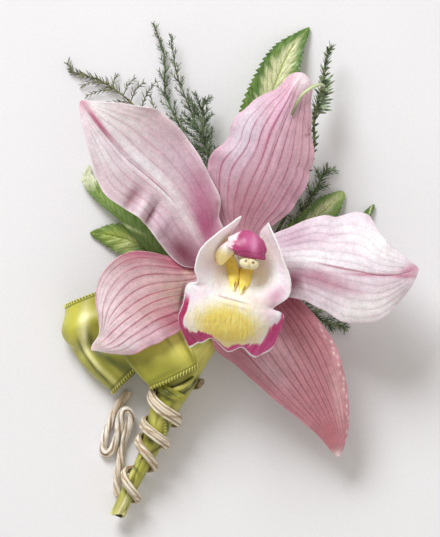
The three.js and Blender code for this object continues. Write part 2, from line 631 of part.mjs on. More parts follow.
function addRibbon() {
  const knotRow = (row) => KNOT_ANGLES.map((angle) => onStem(row, angle, KNOT_STANDOFF).toArray());
  const knot = KNOT_ROWS.map(knotRow);
  add("ribbon_loop", sheetSolid(netSurface(LOOP_NET), 8, 26, RIBBON), SATIN);
  add("ribbon_band", sheetSolid(netSurface(BAND_NET), 8, 20, RIBBON), SATIN);
  add("ribbon_knot", sheetSolid(netSurface(knot), 4, 10, RIBBON), SATIN);
}

// ---------------------------------------------------------------- paper twine
function twinePoint(turn) {
  const lengths = stemLine.getLengths(200);
  const distance = smooth(TWINE_TURNS.map((row) => row[1]), turn / (TWINE_TURNS.length - 1));
  const share = lengths.findIndex((length) => length >= distance) / 200;
  return onStem(share * (STEM.length - 1), -180 * turn, GAP + TWINE / 2).toArray();
}

function addTwineWrap() {
  const count = 9 * Math.ceil(TWINE_END);
  const path = Array.from({ length: count + 1 }, (_, i) => twinePoint((TWINE_END * i) / count));
  add("twine_wrap", cordTube(path, TWINE, 72), PAPER);
}

// The twine's free end: up beside the stem, over in a small curl, down, round and up to its cut end.
const TAIL = [
  [-33.0, -59.9, 1.25], [-33.7, -58.6, 1.1], [-33.6, -56.4, 1.1], [-32.8, -52.8, 1.1],
  [-31.6, -48.2, 1.1], [-30.9, -43.9, 1.5], [-30.3, -41.0, 2.4], [-29.9, -38.8, 3.2],
  [-30.3, -37.2, 3.4], [-31.4, -36.6, 3.4], [-32.7, -37.4, 3.4], [-33.3, -39.3, 3.4],
  [-33.5, -41.4, 3.0], [-34.0, -43.7, 2.0], [-34.8, -46.1, 1.2], [-35.7, -48.2, 1.1],
  [-37.0, -49.2, 1.1], [-38.2, -48.3, 1.1], [-38.2, -46.3, 1.1], [-37.4, -44.0, 1.1],
  [-36.0, -41.3, 1.1], [-34.4, -38.8, 1.1], [-32.7, -36.2, 1.1], [-31.0, -34.3, 1.1],
];

function addTwineTail() {
  add("twine_tail", cordTube(TAIL, TWINE, 44), PAPER);
}

// ---------------------------------------------------------------- assembly
addRibbonWrap();
addTapedStems();
addFlowerStalk();
addDorsalSepal();
addLeftPetal();
addRightPetal();
addLeftLateralSepal();
addRightLateralSepal();
addLip();
addColumn();
addAntherCap();
addLeaves();
addFerns();
addRosemary();
addRibbon();
addTwineWrap();
addTwineTail();
root.position.set(-CENTRE[0], -CENTRE[1], 0);

export default root;
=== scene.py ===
import math

import bpy
import mathutils
import numpy as np
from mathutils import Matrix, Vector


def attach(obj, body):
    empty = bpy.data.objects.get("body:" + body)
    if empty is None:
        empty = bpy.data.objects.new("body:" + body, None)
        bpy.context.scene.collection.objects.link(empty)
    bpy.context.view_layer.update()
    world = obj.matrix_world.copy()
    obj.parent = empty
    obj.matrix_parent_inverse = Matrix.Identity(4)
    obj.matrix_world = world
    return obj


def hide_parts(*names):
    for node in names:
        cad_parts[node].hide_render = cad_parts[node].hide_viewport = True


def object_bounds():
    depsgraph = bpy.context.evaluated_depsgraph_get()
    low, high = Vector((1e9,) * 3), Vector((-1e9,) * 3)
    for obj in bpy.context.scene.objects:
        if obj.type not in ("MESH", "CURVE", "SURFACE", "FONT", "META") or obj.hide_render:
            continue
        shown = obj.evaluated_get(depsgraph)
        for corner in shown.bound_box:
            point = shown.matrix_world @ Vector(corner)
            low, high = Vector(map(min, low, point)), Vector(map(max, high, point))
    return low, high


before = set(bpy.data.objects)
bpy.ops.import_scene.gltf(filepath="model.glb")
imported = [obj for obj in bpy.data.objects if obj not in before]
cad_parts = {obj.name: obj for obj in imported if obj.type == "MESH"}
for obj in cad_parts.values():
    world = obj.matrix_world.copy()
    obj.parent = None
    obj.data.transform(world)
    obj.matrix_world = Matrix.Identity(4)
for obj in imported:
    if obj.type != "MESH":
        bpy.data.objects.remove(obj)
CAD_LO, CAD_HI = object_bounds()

# The corsage's looks. Lengths are millimetres in the drawing that the solids were made from, and SHIFT
# takes them to the model's frame, whose origin is under the middle of the corsage. The studio's lengths
# are metres. Colours in hexadecimal are sRGB, and the lights' are linear.
SHIFT = np.array([0.2, -0.25, 0.0])
MM = 0.001
BODY = "root"
TAU = 2 * np.pi

TEPAL = 0.95                # thickness of a petal or sepal along its middle
LEAF = 0.7                  # thickness of a leaf
LIP = 0.9                   # thickness of the lip
RIBBON = 0.42               # thickness of the ribbon

SENSOR = 36.0               # width of the camera's sensor
REACH = 4.0                 # from the bloom up to the camera
SPAN = 0.1436               # the picture's longer side, at the bloom
BLOOM = (-0.0054, 0.00068, 0.012)   # the middle of the picture
BOARD = 3.0                 # half the board's side
BOARD_DROP = 0.0001         # how far the board lies under the solids
SKY, SKY_STRENGTH = (1.0, 0.945, 0.872, 1), 0.53
KEY = dict(place=(-0.44, 0.95, 0.82), size=0.66, power=15.3, colour=(0.975, 0.987, 1.0))
FILL = dict(place=(0.9, -0.5, 1.3), size=1.6, power=1.6, colour=(1.0, 0.95, 0.9))


# ---------------- studio
def link(name, data):
    thing = bpy.data.objects.new(name, data)
    bpy.context.scene.collection.objects.link(thing)
    return thing


def add_camera():
    data = bpy.data.cameras.new("camera")
    data.sensor_width, data.lens, data.clip_end = SENSOR, SENSOR * REACH / SPAN, 5 * REACH
    camera = link("camera", data)
    camera.location = (BLOOM[0], BLOOM[1], BLOOM[2] + REACH)
    bpy.context.scene.camera = camera


def add_light(name, place, size, power, colour):
    """A round light that points at the origin."""
    data = bpy.data.lights.new(name, "AREA")
    data.shape, data.size, data.energy, data.color = "DISK", size, power, colour
    light = link(name, data)
    light.location = place
    light.rotation_mode = "QUATERNION"
    light.rotation_quaternion = (-mathutils.Vector(place)).to_track_quat("-Z", "Y")


def add_studio():
    """A white board, a pale surrounding, a key light from the picture's top left and a weak fill."""
    mesh = bpy.data.meshes.new("board")
    corners = [(x * BOARD, y * BOARD, 0) for x, y in ((-1, -1), (1, -1), (1, 1), (-1, 1))]
    mesh.from_pydata(corners, [], [(0, 1, 2, 3)])
    mesh.materials.append(floor_material())
    board = link("board", mesh)
    board.location.z = CAD_LO.z - BOARD_DROP
    world = bpy.data.worlds.new("studio")
    world.use_nodes = True
    sky = world.node_tree.nodes["Background"].inputs
    sky["Color"].default_value, sky["Strength"].default_value = SKY, SKY_STRENGTH
    bpy.context.scene.world = world
    bpy.context.scene.view_settings.view_transform = "Standard"
    add_light("key", **KEY)
    add_light("fill", **FILL)


# ---------------- numbers: lists, curves, noise
def smooth(values, t):
    """Value at t in 0..1 of an evenly spaced list of numbers or points."""
    v = np.asarray(values, float)
    x = np.clip(t, 0, 1) * (len(v) - 1)
    i = np.minimum(np.floor(x).astype(int), len(v) - 2)
    f = x - i
    a, b, c, d = (v[np.clip(i + k, 0, len(v) - 1)] for k in (-1, 0, 1, 2))
    if v.ndim > 1:
        f = f[..., None]
    pull = (2 * a - 5 * b + 4 * c - d) * f + (-a + 3 * b - 3 * c + d) * f * f
    return 0.5 * (2 * b + (c - a) * f + pull * f)


def unit(v):
    return v / np.maximum(np.linalg.norm(v, axis=-1, keepdims=True), 1e-12)


def step(x, a, b):
    """0 at a and 1 at b, eased between."""
    f = np.clip((x - a) / (b - a), 0, 1)
    return f * f * (3 - 2 * f)


def bell(x, centre, width):
    """1 at the centre and 0 well away from it."""
    return np.exp(-(((x - centre) / width) ** 2))


def near(angle, degrees, spread):
    """1 where the angle is near so many degrees; spread is in radians."""
    return bell(np.mod(angle - np.radians(degrees) + np.pi, TAU) - np.pi, 0, spread)


def circle(sides):
    return np.linspace(0, TAU, sides, endpoint=False)[None, :]


def grid(nu, nv):
    return np.meshgrid(np.linspace(0, 1, nu + 1), np.linspace(0, 1, nv + 1), indexing="ij")


class Line:
    """Centripetal Catmull-Rom curve through points, read by parameter or by share of its length."""

    def __init__(self, points, samples=600):
        self.p = np.asarray(points, float)
        self.raw_t = np.linspace(0, 1, samples + 1)
        steps = np.linalg.norm(np.diff(self.point(self.raw_t), axis=0), axis=1)
        self.run = np.concatenate([[0], np.cumsum(steps)])
        self.length = self.run[-1]

    def point(self, t):
        p = self.p
        ends = np.vstack([2 * p[0] - p[1], p, 2 * p[-1] - p[-2]])
        x = np.clip(np.asarray(t, float), 0, 1) * (len(p) - 1)
        i = np.minimum(np.floor(x).astype(int), len(p) - 2)
        w = (x - i)[..., None]
        a, b, c, d = (ends[i + k] for k in range(4))
        ab, bc, cd = (np.maximum(np.linalg.norm(n - m, axis=-1, keepdims=True), 1e-6) ** 0.5
                      for m, n in ((a, b), (b, c), (c, d)))
        t1 = ((b - a) / ab - (c - a) / (ab + bc) + (c - b) / bc) * bc
        t2 = ((c - b) / bc - (d - b) / (bc + cd) + (d - c) / cd) * bc
        c2 = -3 * b + 3 * c - 2 * t1 - t2
        c3 = 2 * b - 2 * c + t1 + t2
        return b + t1 * w + c2 * w * w + c3 * w**3

    def at(self, share):
        return self.point(np.interp(np.clip(share, 0, 1) * self.length, self.run, self.raw_t))

    def tangent(self, share):
        e = 2e-4
        return unit(self.at(np.minimum(share + e, 1)) - self.at(np.maximum(share - e, 0)))


def hashed(a, b):
    """Repeatable value in 0..1 for whole numbers."""
    v = np.sin(a * 127.1 + b * (127.1 + 184.6)) * 43758.5453
    return v - np.floor(v)


def noise2(x, y, seed=0):
    """Smooth repeatable noise in -1..1."""
    xi, yi = np.floor(x), np.floor(y)
    fx, fy = x - xi, y - yi
    fx, fy = fx * fx * (3 - 2 * fx), fy * fy * (3 - 2 * fy)
    low, high = (hashed(xi + seed * 17.0, row) * (1 - fx) + hashed(xi + 1 + seed * 17.0, row) * fx
                 for row in (yi, yi + 1))
    return 2 * (low * (1 - fy) + high * fy) - 1


# ---------------- colour
def rgb(code):
    """A colour's linear red, green and blue."""
    c = np.array([int(code[i:i + 2], 16) for i in (0, 2, 4)], float) / 255
    return np.where(c <= 0.04045, c / 12.92, ((c + 0.055) / 1.055) ** 2.4)


def plain(colour, p):
    return np.broadcast_to(rgb(colour), p.shape)


def coats(base, *layers):
    """Coats of paint over a base, each a colour and how far it covers."""
    for colour, weight in layers:
        w = np.clip(weight, 0, 1)[..., None]
        base = base * (1 - w) + rgb(colour) * w
    return base


def washes(base, p, spots):
    """Soft patches over a base: x, y, half length, half width, turn in degrees, colour, strength."""
    x, y = p[..., 0], p[..., 1]
    for px, py, a, b, turn, colour, strength in spots:
        c, s = math.cos(math.radians(turn)), math.sin(math.radians(turn))
        along = ((x - px) * c + (y - py) * s) / a
        across = (-(x - px) * s + (y - py) * c) / b
        base = coats(base, (colour, strength * np.exp(-(along**2 + across**2))))
    return base


# ---------------- meshes
def ring_faces(rings, sides, joined=False):
    """Faces between rings of points; joined closes the last ring to the first."""
    i, j = np.meshgrid(np.arange(rings if joined else rings - 1), np.arange(sides), indexing="ij")
    a, b, k = i * sides, (i + 1) % rings * sides, (j + 1) % sides
    return np.stack([a + j, a + k, b + k, b + j], axis=-1).reshape(-1, 4).tolist()


class Mesh:
    """Collects the closed parts of one piece: points, faces, UV and painted ground."""

    def __init__(self):
        self.verts, self.faces, self.uv, self.tint = [], [], [], []
        self.count = 0

    def add(self, verts, faces, uv, tint):
        verts = np.asarray(verts, float).reshape(-1, 3)
        self.verts.append(verts)
        self.faces += [[k + self.count for k in f] for f in faces]
        self.uv.append(uv.reshape(-1, 2))
        self.tint.append(tint.reshape(-1, 3))
        self.count += len(verts)
        return self

    def sheet(self, p, thickness, front, rear, uv):
        """A thin closed solid on both sides of the surface p[i, j]; thickness may vary."""
        rows, columns = p.shape[:2]
        cross = np.cross(np.gradient(p, axis=0), np.gradient(p, axis=1))
        flip = np.sum(cross[..., 2]) < 0
        n = unit(cross)
        if np.sum(n[..., 2]) < 0:
            n = -n
        off = n * (np.broadcast_to(thickness, p.shape[:2]) / 2)[..., None]
        m = rows * columns
        index = np.arange(m).reshape(rows, columns)
        quads = np.stack([index[:-1, :-1], index[1:, :-1], index[1:, 1:], index[:-1, 1:]], axis=-1)
        quads = quads.reshape(-1, 4)
        turned = quads[:, ::-1]
        faces = np.concatenate([turned, quads + m] if flip else [quads, turned + m]).tolist()
        rim = [*index[:, 0], *index[-1, 1:], *index[-2::-1, -1], *index[0, -2:0:-1]]
        for a, b in zip(rim, rim[1:] + rim[:1]):
            faces.append([a, b, b + m, a + m] if flip else [a, a + m, b + m, b])
        return self.add([p + off, p - off], faces, np.stack([uv, uv]), np.stack([front, rear]))

    def tube(self, rings, tint):
        """A closed solid through rings[i, j] of points, with capped ends."""
        rows, sides = rings.shape[:2]
        last = (rows - 1) * sides
        faces = ring_faces(rows, sides) + [list(range(sides))[::-1], list(range(last, last + sides))]
        uv = np.stack(grid(rows - 1, sides - 1), axis=-1)
        return self.add(rings, faces, uv, np.broadcast_to(tint, rings.shape))

    def place(self, name, material, slot, *nodes, angle=60):
        """Makes the piece, which rides on the body and stands for the nodes; the slot is not used."""
        mesh = bpy.data.meshes.new(name)
        mesh.from_pydata(((np.concatenate(self.verts) + SHIFT) * MM).tolist(), [], self.faces)
        loops = np.empty(len(mesh.loops), dtype=np.int32)
        mesh.loops.foreach_get("vertex_index", loops)
        uv = np.concatenate(self.uv).astype(np.float32)
        mesh.uv_layers.new(name="blade").data.foreach_set("uv", uv[loops].ravel())
        tint = np.concatenate(self.tint)
        tint = np.hstack([tint, np.ones((len(tint), 1))]).astype(np.float32)
        painted = mesh.color_attributes.new(name="tint", type="FLOAT_COLOR", domain="POINT")
        painted.data.foreach_set("color", tint.ravel())
        mesh.shade_smooth()
        mesh.set_sharp_from_angle(angle=math.radians(angle))
        mesh.validate()
        mesh.update()
        mesh.materials.append(material)
        piece = link(name, mesh)
        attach(piece, BODY)
        if nodes:
            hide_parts(*nodes)
        return piece


def normals(p):
    return unit(np.cross(np.gradient(p, axis=0), np.gradient(p, axis=1)))


def up_normals(p):
    n = normals(p)
    return np.where(n[..., 2:] < 0, -n, n)


def keep_above(p, height):
    """Lifts the points that lie lower than this over the board."""
    p[..., 2] = np.maximum(p[..., 2], height)


def rings_about(points, side, up, x, y):
    """Rings round a line of points, x[i, j] to the side and y[i, j] up."""
    return points[:, None] + side[:, None] * x[..., None] + up[:, None] * y[..., None]


def sweep(points, across, up, sides, turn=0.0, shape=None):
    """Rings along points; across and up are half widths, and shape(angle, share) scales them."""
    n = len(points)
    t = unit(np.gradient(points, axis=0))
    first = np.cross(t[0], [0, 0, 1.0])
    if np.linalg.norm(first) < 0.1:
        first = np.array([1.0, 0, 0])
    s = unit(first - t[0] * np.dot(first, t[0]))
    side = np.zeros_like(t)
    for i, d in enumerate(t):
        side[i] = s = unit(s - d * np.dot(s, d))
    ang = circle(sides) + np.zeros((n, 1))
    k = shape(ang, np.linspace(0, 1, n)[:, None] + 0 * ang) if shape else 1.0
    twist = np.broadcast_to(turn, (n,))[:, None]
    x = np.broadcast_to(across, (n,))[:, None] * np.cos(ang) * k
    y = np.broadcast_to(up, (n,))[:, None] * np.sin(ang) * k
    c, s = np.cos(twist), np.sin(twist)
    return rings_about(points, side, np.cross(side, t), x * c - y * s, x * s + y * c)


# ---------------- materials
class Value:
    """A node's output, which can be added to, taken from and multiplied."""

    def __init__(self, graph, socket):
        self.graph, self.socket = graph, socket

    def __add__(self, other):
        return self.graph.math("ADD", self, other)

    def __sub__(self, other):
        return self.graph.math("SUBTRACT", self, other)

    def __mul__(self, other):
        return self.graph.math("MULTIPLY", self, other)

    def __abs__(self):
        return self.graph.math("ABSOLUTE", self)

    def fold(self):
        """Its distance from the nearest whole number."""
        return self.graph.math("PINGPONG", self, 0.5)


class Graph:
    """One procedural material, built from few calls."""

    def __init__(self, name, roughness, specular, **more):
        self.mat = bpy.data.materials.new(name)
        self.mat.use_nodes = True
        self.tree = self.mat.node_tree
        self.shader = self.tree.nodes["Principled BSDF"]
        self.set(Roughness=roughness, Specular_IOR_Level=specular, **more)

    def set(self, **inputs):
        for key, value in inputs.items():
            self.feed(self.shader.inputs[key.replace("_", " ")], value)

    def feed(self, socket, value):
        if isinstance(value, Value):
            self.tree.links.new(value.socket, socket)
        elif value is not None:
            socket.default_value = (*rgb(value), 1.0) if isinstance(value, str) else value

    def node(self, kind, values, out=0, **props):
        """A node's output; values go to its inputs by number or name."""
        n = self.tree.nodes.new("ShaderNode" + kind)
        for key, value in props.items():
            setattr(n, key, value)
        for key, value in values.items():
            self.feed(n.inputs[key], value)
        return Value(self, n.outputs[out])

    def math(self, operation, a, b=None, c=None, clamp=False):
        return self.node("Math", {0: a, 1: b, 2: c}, operation=operation, use_clamp=clamp)

    def mix(self, factor, a, b, kind="MIX"):
        return self.node("Mix", {0: factor, 6: a, 7: b}, 2, data_type="RGBA", blend_type=kind)

    def shade(self, colour, value, factor=1.0):
        return self.mix(factor, colour, value, "MULTIPLY")

    def span(self, value, a, b, to_a=0.0, to_b=1.0, kind="SMOOTHSTEP"):
        """The value's run from a to b taken to the run from to_a to to_b."""
        return self.node("MapRange", {0: value, 1: a, 2: b, 3: to_a, 4: to_b}, interpolation_type=kind)

    def uv(self):
        return self.node("UVMap", {}, uv_map="blade")

    def blade(self):
        """How far along and across the piece, both 0..1."""
        uv = self.uv()
        return (self.node("SeparateXYZ", {0: uv}, k) for k in (0, 1))

    def tint(self):
        return self.node("VertexColor", {}, layer_name="tint")

    def noise(self, vector, stretch, scale, detail, roughness):
        vector = self.node("Mapping", {"Vector": vector, "Scale": stretch})
        values = {"Vector": vector, "Scale": scale, "Detail": detail, "Roughness": roughness}
        return self.node("TexNoise", values)

    def grain(self, scale, detail=2.0, roughness=0.5):
        """Noise over the object; the scale is per millimetre."""
        return self.noise(self.node("TexCoord", {}, "Object"), (1 / MM,) * 3, scale, detail, roughness)

    def streaks(self, along, across, detail=2.0, roughness=0.5):
        """Noise over the piece, stretched along and across it."""
        return self.noise(self.uv(), (along, across, 1.0), 1.0, detail, roughness)

    def lines(self, count, wander, drift, width):
        """Fine lines that run along a blade: 1 on a line, 0 between."""
        _, across = self.blade()
        shifted = self.math("MULTIPLY_ADD", self.streaks(drift, 3.5), wander, across * count)
        return self.span(shifted.fold(), width, 0.0)

    def flesh(self, weight, radius, colours=(1.0, 0.45, 0.55)):
        """Light that passes into thin petals and leaves; the radius is in millimetres."""
        self.set(Subsurface_Weight=weight, Subsurface_Radius=colours, Subsurface_Scale=radius * MM)

    def finish(self, colour, height, strength, depth):
        """The material, with a bump so many millimetres deep."""
        values = {"Height": height, "Strength": strength, "Distance": depth * MM}
        self.set(Base_Color=colour, Normal=self.node("Bump", values))
        return self.mat


def tepal_material(name, count, vein, depth, fine, rib, width):
    """Petal skin: the painted ground, broken dark veins with finer ones between, cell sparkle."""
    g = Graph(name, 0.5, 0.4, Sheen_Weight=0.1, Sheen_Roughness=0.4)
    g.flesh(0.2, 0.9)
    along, across = g.blade()
    main, halo = (g.lines(count, 0.7, 2.2, width * k) for k in (1.0, 3.2))
    thin = g.lines(count * 2.0, 1.5, 5.0, 0.13)
    broken = g.span(g.streaks(9, 22, 3.0), 0.36, 0.64)
    fade = g.span(g.streaks(2.2, 7), 0.34, 0.6, 0.45, 1.0)
    live = g.span(along, 0.02, 0.12) * g.span(along, 1.0, 0.84) * g.span(abs(across - 0.5), 0.48, 0.40)
    strong = main * fade * g.span(broken, 0.0, 1.0, 0.65, 1.0)
    veins = g.math("ADD", strong, thin * broken * fine, clamp=True) * live
    colour = g.mix(halo * live * fade * (0.30 * depth), g.tint(), vein)
    colour = g.mix(veins * depth, colour, vein)
    if rib:
        bow = g.math("MULTIPLY_ADD", g.streaks(3, 0.1), 0.02, -0.01)
        line = g.span(abs(across - 0.5 + bow), 0.016, 0.0) * g.span(along, 0.30, 0.48)
        colour = g.mix(line * rib * g.span(along, 1.0, 0.94), colour, "9e3e5c")
    mottle, cells = g.grain(0.45, 4.0, 0.6), g.grain(1.5, 3.0, 0.7)
    light = g.span(mottle, 0.3, 0.7, 0.91, 1.06) * g.span(cells, 0.25, 0.75, 0.86, 1.13, "LINEAR")
    return g.finish(g.shade(colour, light), cells * 0.6 - veins * 0.6, 0.5, 0.13)


def leaf_material():
    """Variegated leaf: the painted ground, green flecks and veins that branch off the rib."""
    g = Graph("leaf_green", 0.42, 0.45)
    g.flesh(0.12, 0.6, (0.5, 1.0, 0.3))
    along, across = g.blade()
    off = abs(across - 0.5)
    chevron = g.math("MULTIPLY_ADD", g.streaks(6, 9), 0.9, along * 26.0 - off * 9.0)
    vein, rib = g.span(chevron.fold(), 0.16, 0.0), g.span(off, 0.03, 0.008)
    colour = g.mix(g.span(g.streaks(60, 26, 3.0), 0.38, 0.66) * 0.25, g.tint(), "5c7c38")
    colour = g.mix(vein * 0.32, colour, "406828")
    colour = g.mix(rib * 0.75, colour, "ceda8a")
    grain = g.grain(1.6, 4.0, 0.6)
    colour = g.shade(colour, g.span(grain, 0.3, 0.7, 0.88, 1.1))
    return g.finish(colour, grain * 0.4 - (vein + rib), 0.5, 0.22)


def foliage_material(name, dark, light, tip, roughness=0.62):
    """Needle foliage: green that varies from needle to needle, paler towards some tips."""
    g = Graph(name, roughness, 0.35)
    along, _ = g.blade()
    varied = g.mix(g.span(g.grain(0.8, 3.0, 0.6), 0.35, 0.65), dark, light)
    dry = g.span(along, 0.55, 1.0) * g.span(g.grain(0.35), 0.42, 0.6)
    colour = g.shade(g.mix(dry * 0.65, varied, tip), g.tint(), 0.85)
    return g.finish(colour, g.grain(5.0), 0.3, 0.08)


def satin_material():
    """Satin ribbon: floats that run along it, a faint weave, and the painted lights and folds."""
    g = Graph("satin_ribbon", 0.34, 0.55, Sheen_Weight=0.18, Sheen_Roughness=0.35, Anisotropic=0.55,
              Anisotropic_Rotation=0.25)
    along, _ = g.blade()
    floats, cloud = g.streaks(14.0, 420.0, 3.0, 0.6), g.grain(0.22, 3.0, 0.55)
    weft = (along * 260.0).fold()
    value = g.span(floats, 0.3, 0.7, 0.93, 1.07) * g.span(cloud, 0.3, 0.7, 0.92, 1.06)
    value = value * g.span(weft, 0.0, 0.5, 0.97, 1.02)
    g.set(Tangent=g.node("Tangent", {}, direction_type="UV_MAP", uv_map="blade"),
          Roughness=g.span(floats, 0.25, 0.75, 0.28, 0.44))
    height = g.math("MULTIPLY_ADD", floats, 0.7, weft * 0.5)
    return g.finish(g.shade(g.tint(), value), height, 0.25, 0.05)


def stitch_material():
    """The lock stitches of the selvedge: thread, with painted shade where it dives into the cloth."""
    g = Graph("selvedge_thread", 0.45, 0.5, Sheen_Weight=0.2)
    along, across = g.blade()
    strands = (across * 5.0).fold()
    # painted shade at both ends of each stitch, where it dives into the cloth
    colour = g.mix(g.span(abs(along - 0.5), 0.32, 0.5) * 0.6, g.tint(), "787a1e")
    return g.finish(g.shade(colour, g.span(strands, 0.0, 0.5, 0.75, 1.1), 0.35), strands, 0.5, 0.08)


def paper_material():
    """Twisted paper twine: pale paper with brown fibres and creases along the twist."""
    g = Graph("paper_twine", 0.78, 0.25)
    streaks, fibre = g.streaks(9.0, 11.0, 5.0, 0.7), g.streaks(30.0, 34.0, 3.0, 0.6)
    colour = g.mix(g.span(streaks, 0.48, 0.68) * 0.7, g.tint(), "b09474")
    colour = g.mix(g.span(fibre, 0.57, 0.70) * 0.6, colour, "70563a")
    colour = g.mix(g.span(fibre, 0.44, 0.3) * 0.6, colour, "faf6ec")
    return g.finish(colour, streaks + fibre * 0.5, 0.7, 0.25)


def lip_material():
    """The lip's waxy skin, with faint veins over the painted ground."""
    g = Graph("lip_white", 0.5, 0.4, Sheen_Weight=0.15)
    g.flesh(0.55, 2.4)
    fine = g.grain(3.0, 4.0, 0.65)
    colour = g.shade(g.tint(), g.span(fine, 0.25, 0.75, 0.93, 1.05))
    return g.finish(g.mix(g.lines(26.0, 1.6, 4.0, 0.18) * 0.06, colour, "c882aa"), fine, 0.45, 0.16)


def waxy_material(name, roughness, specular, scale, strength, coat=0.0):
    """Smooth waxy flower tissue coloured by its painted ground, with fine cells."""
    g = Graph(name, roughness, specular, Coat_Weight=coat, Coat_Roughness=0.25)
    g.flesh(0.15, 0.6)
    cells = g.grain(scale, 4.0, 0.6)
    value = g.span(cells, 0.25, 0.75, 0.93, 1.06) * g.span(g.grain(0.7, 3.0), 0.3, 0.7, 0.93, 1.05)
    return g.finish(g.shade(g.tint(), value), cells, strength, 0.12)


def stalk_material(name, dark, light, roughness, streak=40.0):
    """Green stalk or floral tape: lengthwise streaks and a slightly rough skin."""
    g = Graph(name, roughness, 0.4)
    streaks, crepe = g.streaks(5.0, streak, 4.0, 0.6), g.grain(2.4, 3.0)
    colour = g.mix(g.span(streaks, 0.35, 0.65), dark, light)
    return g.finish(g.shade(colour, g.span(crepe, 0.3, 0.7, 0.9, 1.08)), streaks + crepe, 0.4, 0.15)


def floor_material():
    """White painted board with the faintest tooth."""
    g = Graph("board", 0.85, 0.2)
    tooth = g.grain(1.1, 5.0, 0.7)
    value = g.span(tooth, 0.25, 0.75, 0.975, 1.015) * g.span(g.grain(0.018), 0.3, 0.7, 0.985, 1.01)
    return g.finish(g.mix(1.0, "ededf1", value, "MULTIPLY"), tooth, 0.25, 0.12)


# ---------------- the bound stems' axis
# Points from the cut end to the flower, each with the radius of the winding there. A count along them
# is 0 at the first point, 1 at the second and so on.
STEM = np.array([[-33.2, -65.6, 4.2, 2.15], [-30.8, -60.3, 4.65, 2.1], [-26.4, -51.2, 5.6, 2.35],
    [-22.7, -43.2, 6.7, 3.1], [-19.7, -34.9, 7.8, 4.1], [-16.5, -28.8, 8.7, 4.5],
    [-12.3, -21.3, 9.7, 4.6], [-6.9, -12.3, 10.6, 4.6]])
STEM_LINE = Line(STEM[:, :3])
LAST = len(STEM) - 1
WRAP_TOP = 6.6              # count where the ribbon's winding ends
TAPE_FOOT = 0.35            # count where the taped stems begin
STALK_TOP = [0.7, 4.0, 11.75]
STALK_OUT = 0.85            # how far the stalks' feet lie beyond the last point


def stem_at(count):
    """At a count along STEM: the point, the direction, the way to the side and up, and the radius."""
    t, e = count / LAST, 1e-3
    along = unit(STEM_LINE.point(np.minimum(t + e, 1)) - STEM_LINE.point(np.maximum(t - e, 0)))
    side = unit(along[..., [1, 0, 0]] * (1, -1, 0))
    return STEM_LINE.point(t), along, side, np.cross(side, along), smooth(STEM[:, 3], t)


def on_stem(count, degrees, standoff):
    """Points off the winding: a count along STEM, an angle round it and a stand-off."""
    point, _, side, up, radius = stem_at(count)
    turn, reach = np.radians(degrees), radius + standoff
    return point + side * (reach * np.cos(turn))[..., None] + up * (reach * np.sin(turn))[..., None]


def slot(across, up):
    """Where a stalk comes out of the taped stems."""
    point, along, side, rise, _ = stem_at(LAST)
    return point + along * STALK_OUT + side * across + rise * up


# ---------------- paper twine
TAIL = [[-32.9, -60, 1.25], [-33.25, -57.6, 1.1], [-33.2, -54.9, 1.1], [-32.6, -51.5, 1.1],
    [-32, -47.7, 1.1], [-31.1, -44.3, 1.5], [-30.1, -41.3, 2.4], [-29.5, -38.9, 3.2],
    [-30, -37.1, 3.4], [-31.3, -36.9, 3.4], [-32.2, -38.3, 3.3], [-32.5, -40.6, 2.9],
    [-32.9, -43.2, 2.1], [-33.7, -45.8, 1.3], [-34.8, -47.9, 1.1], [-36.2, -48.6, 1.1],
    [-37, -47.4, 1.1], [-36.6, -45.1, 1.1], [-35.7, -42.1, 1.1], [-34.6, -39.2, 1.1],
    [-33.2, -36.4, 1.1], [-31.6, -34, 1.1], [-29.9, -32.1, 1.1]]
# Distances from the cut end at every half turn of the winding, and how many half turns it has.
TWINE_TURNS = [42.6, 34.6, 29.9, 26.4, 23.2, 21.4, 16.4, 11.6, 6.6, 5.0]
TWINE_END = 8.6
TWINE_OFF = 1.08            # from the ribbon's surface to the middle of the twine
TWINE_SIDES = 40


def add_cord(paper):
    """The twine's free end: a flattened twist of creased paper, hollow at its cut."""
    line = Line(TAIL)
    share = np.linspace(0, 1, 150)
    path = line.at(share)

    def creased(ang, along):
        fold = 0.11 * np.cos(3 * ang + 3) + 0.08 * np.cos(5 * ang + 6.3 + 9 * along)
        return 0.96 + fold + 0.13 * noise2(along * 34 + 3 * np.cos(ang), 2 * np.sin(ang), 3)

    roll = 3 * share * TAU + 0.5 * noise2(share * 9, 0, 5)
    width = 1.08 * (1 + 0.12 * noise2(share * 16, 5, 3))
    rings = sweep(path, width, 0.92, TWINE_SIDES, roll, creased)
    ends = [path[k] + (rings[k] - path[k]) * size for k, size in ((-1, 0.62), (-4, 0.5))]
    rings = np.concatenate([rings, ends])
    keep_above(rings, 0.04)
    ang, share = circle(TWINE_SIDES), np.linspace(0, 1, len(rings))[:, None]
    hollow = np.clip(-1.3 * np.cos(3 * ang + 3) - 0.7 * np.cos(5 * ang + 6.3 + 9 * share), 0, 1)
    rough = noise2(share * 60 + 2 * np.cos(ang), 2 * np.sin(ang) + 4, 7)
    # painted shade in the hollows of the creases
    tint = coats(plain("fffaf0", rings), ("806242", 0.9 * hollow**1.6),
                 ("ceb698", 0.6 * step(rough, 0.2, 0.6)), ("ceb694", 0.6 * step(share, 0.80, 0.90)),
                 ("d4c0a4", 0.5 * step(0.25 - share, 0.0, 0.08)))
    # the inset cut end is painted dark, as the shade inside it
    tint[-2:] = rgb("463424")
    tail = Mesh().tube(rings, tint).place("paper_twine_tail", paper, "paper_twine", "twine_tail")
    route = (line.at(np.linspace(0, 1, 60)) + SHIFT) * MM
    tuple(route[0])
    [tuple(p) for p in route]


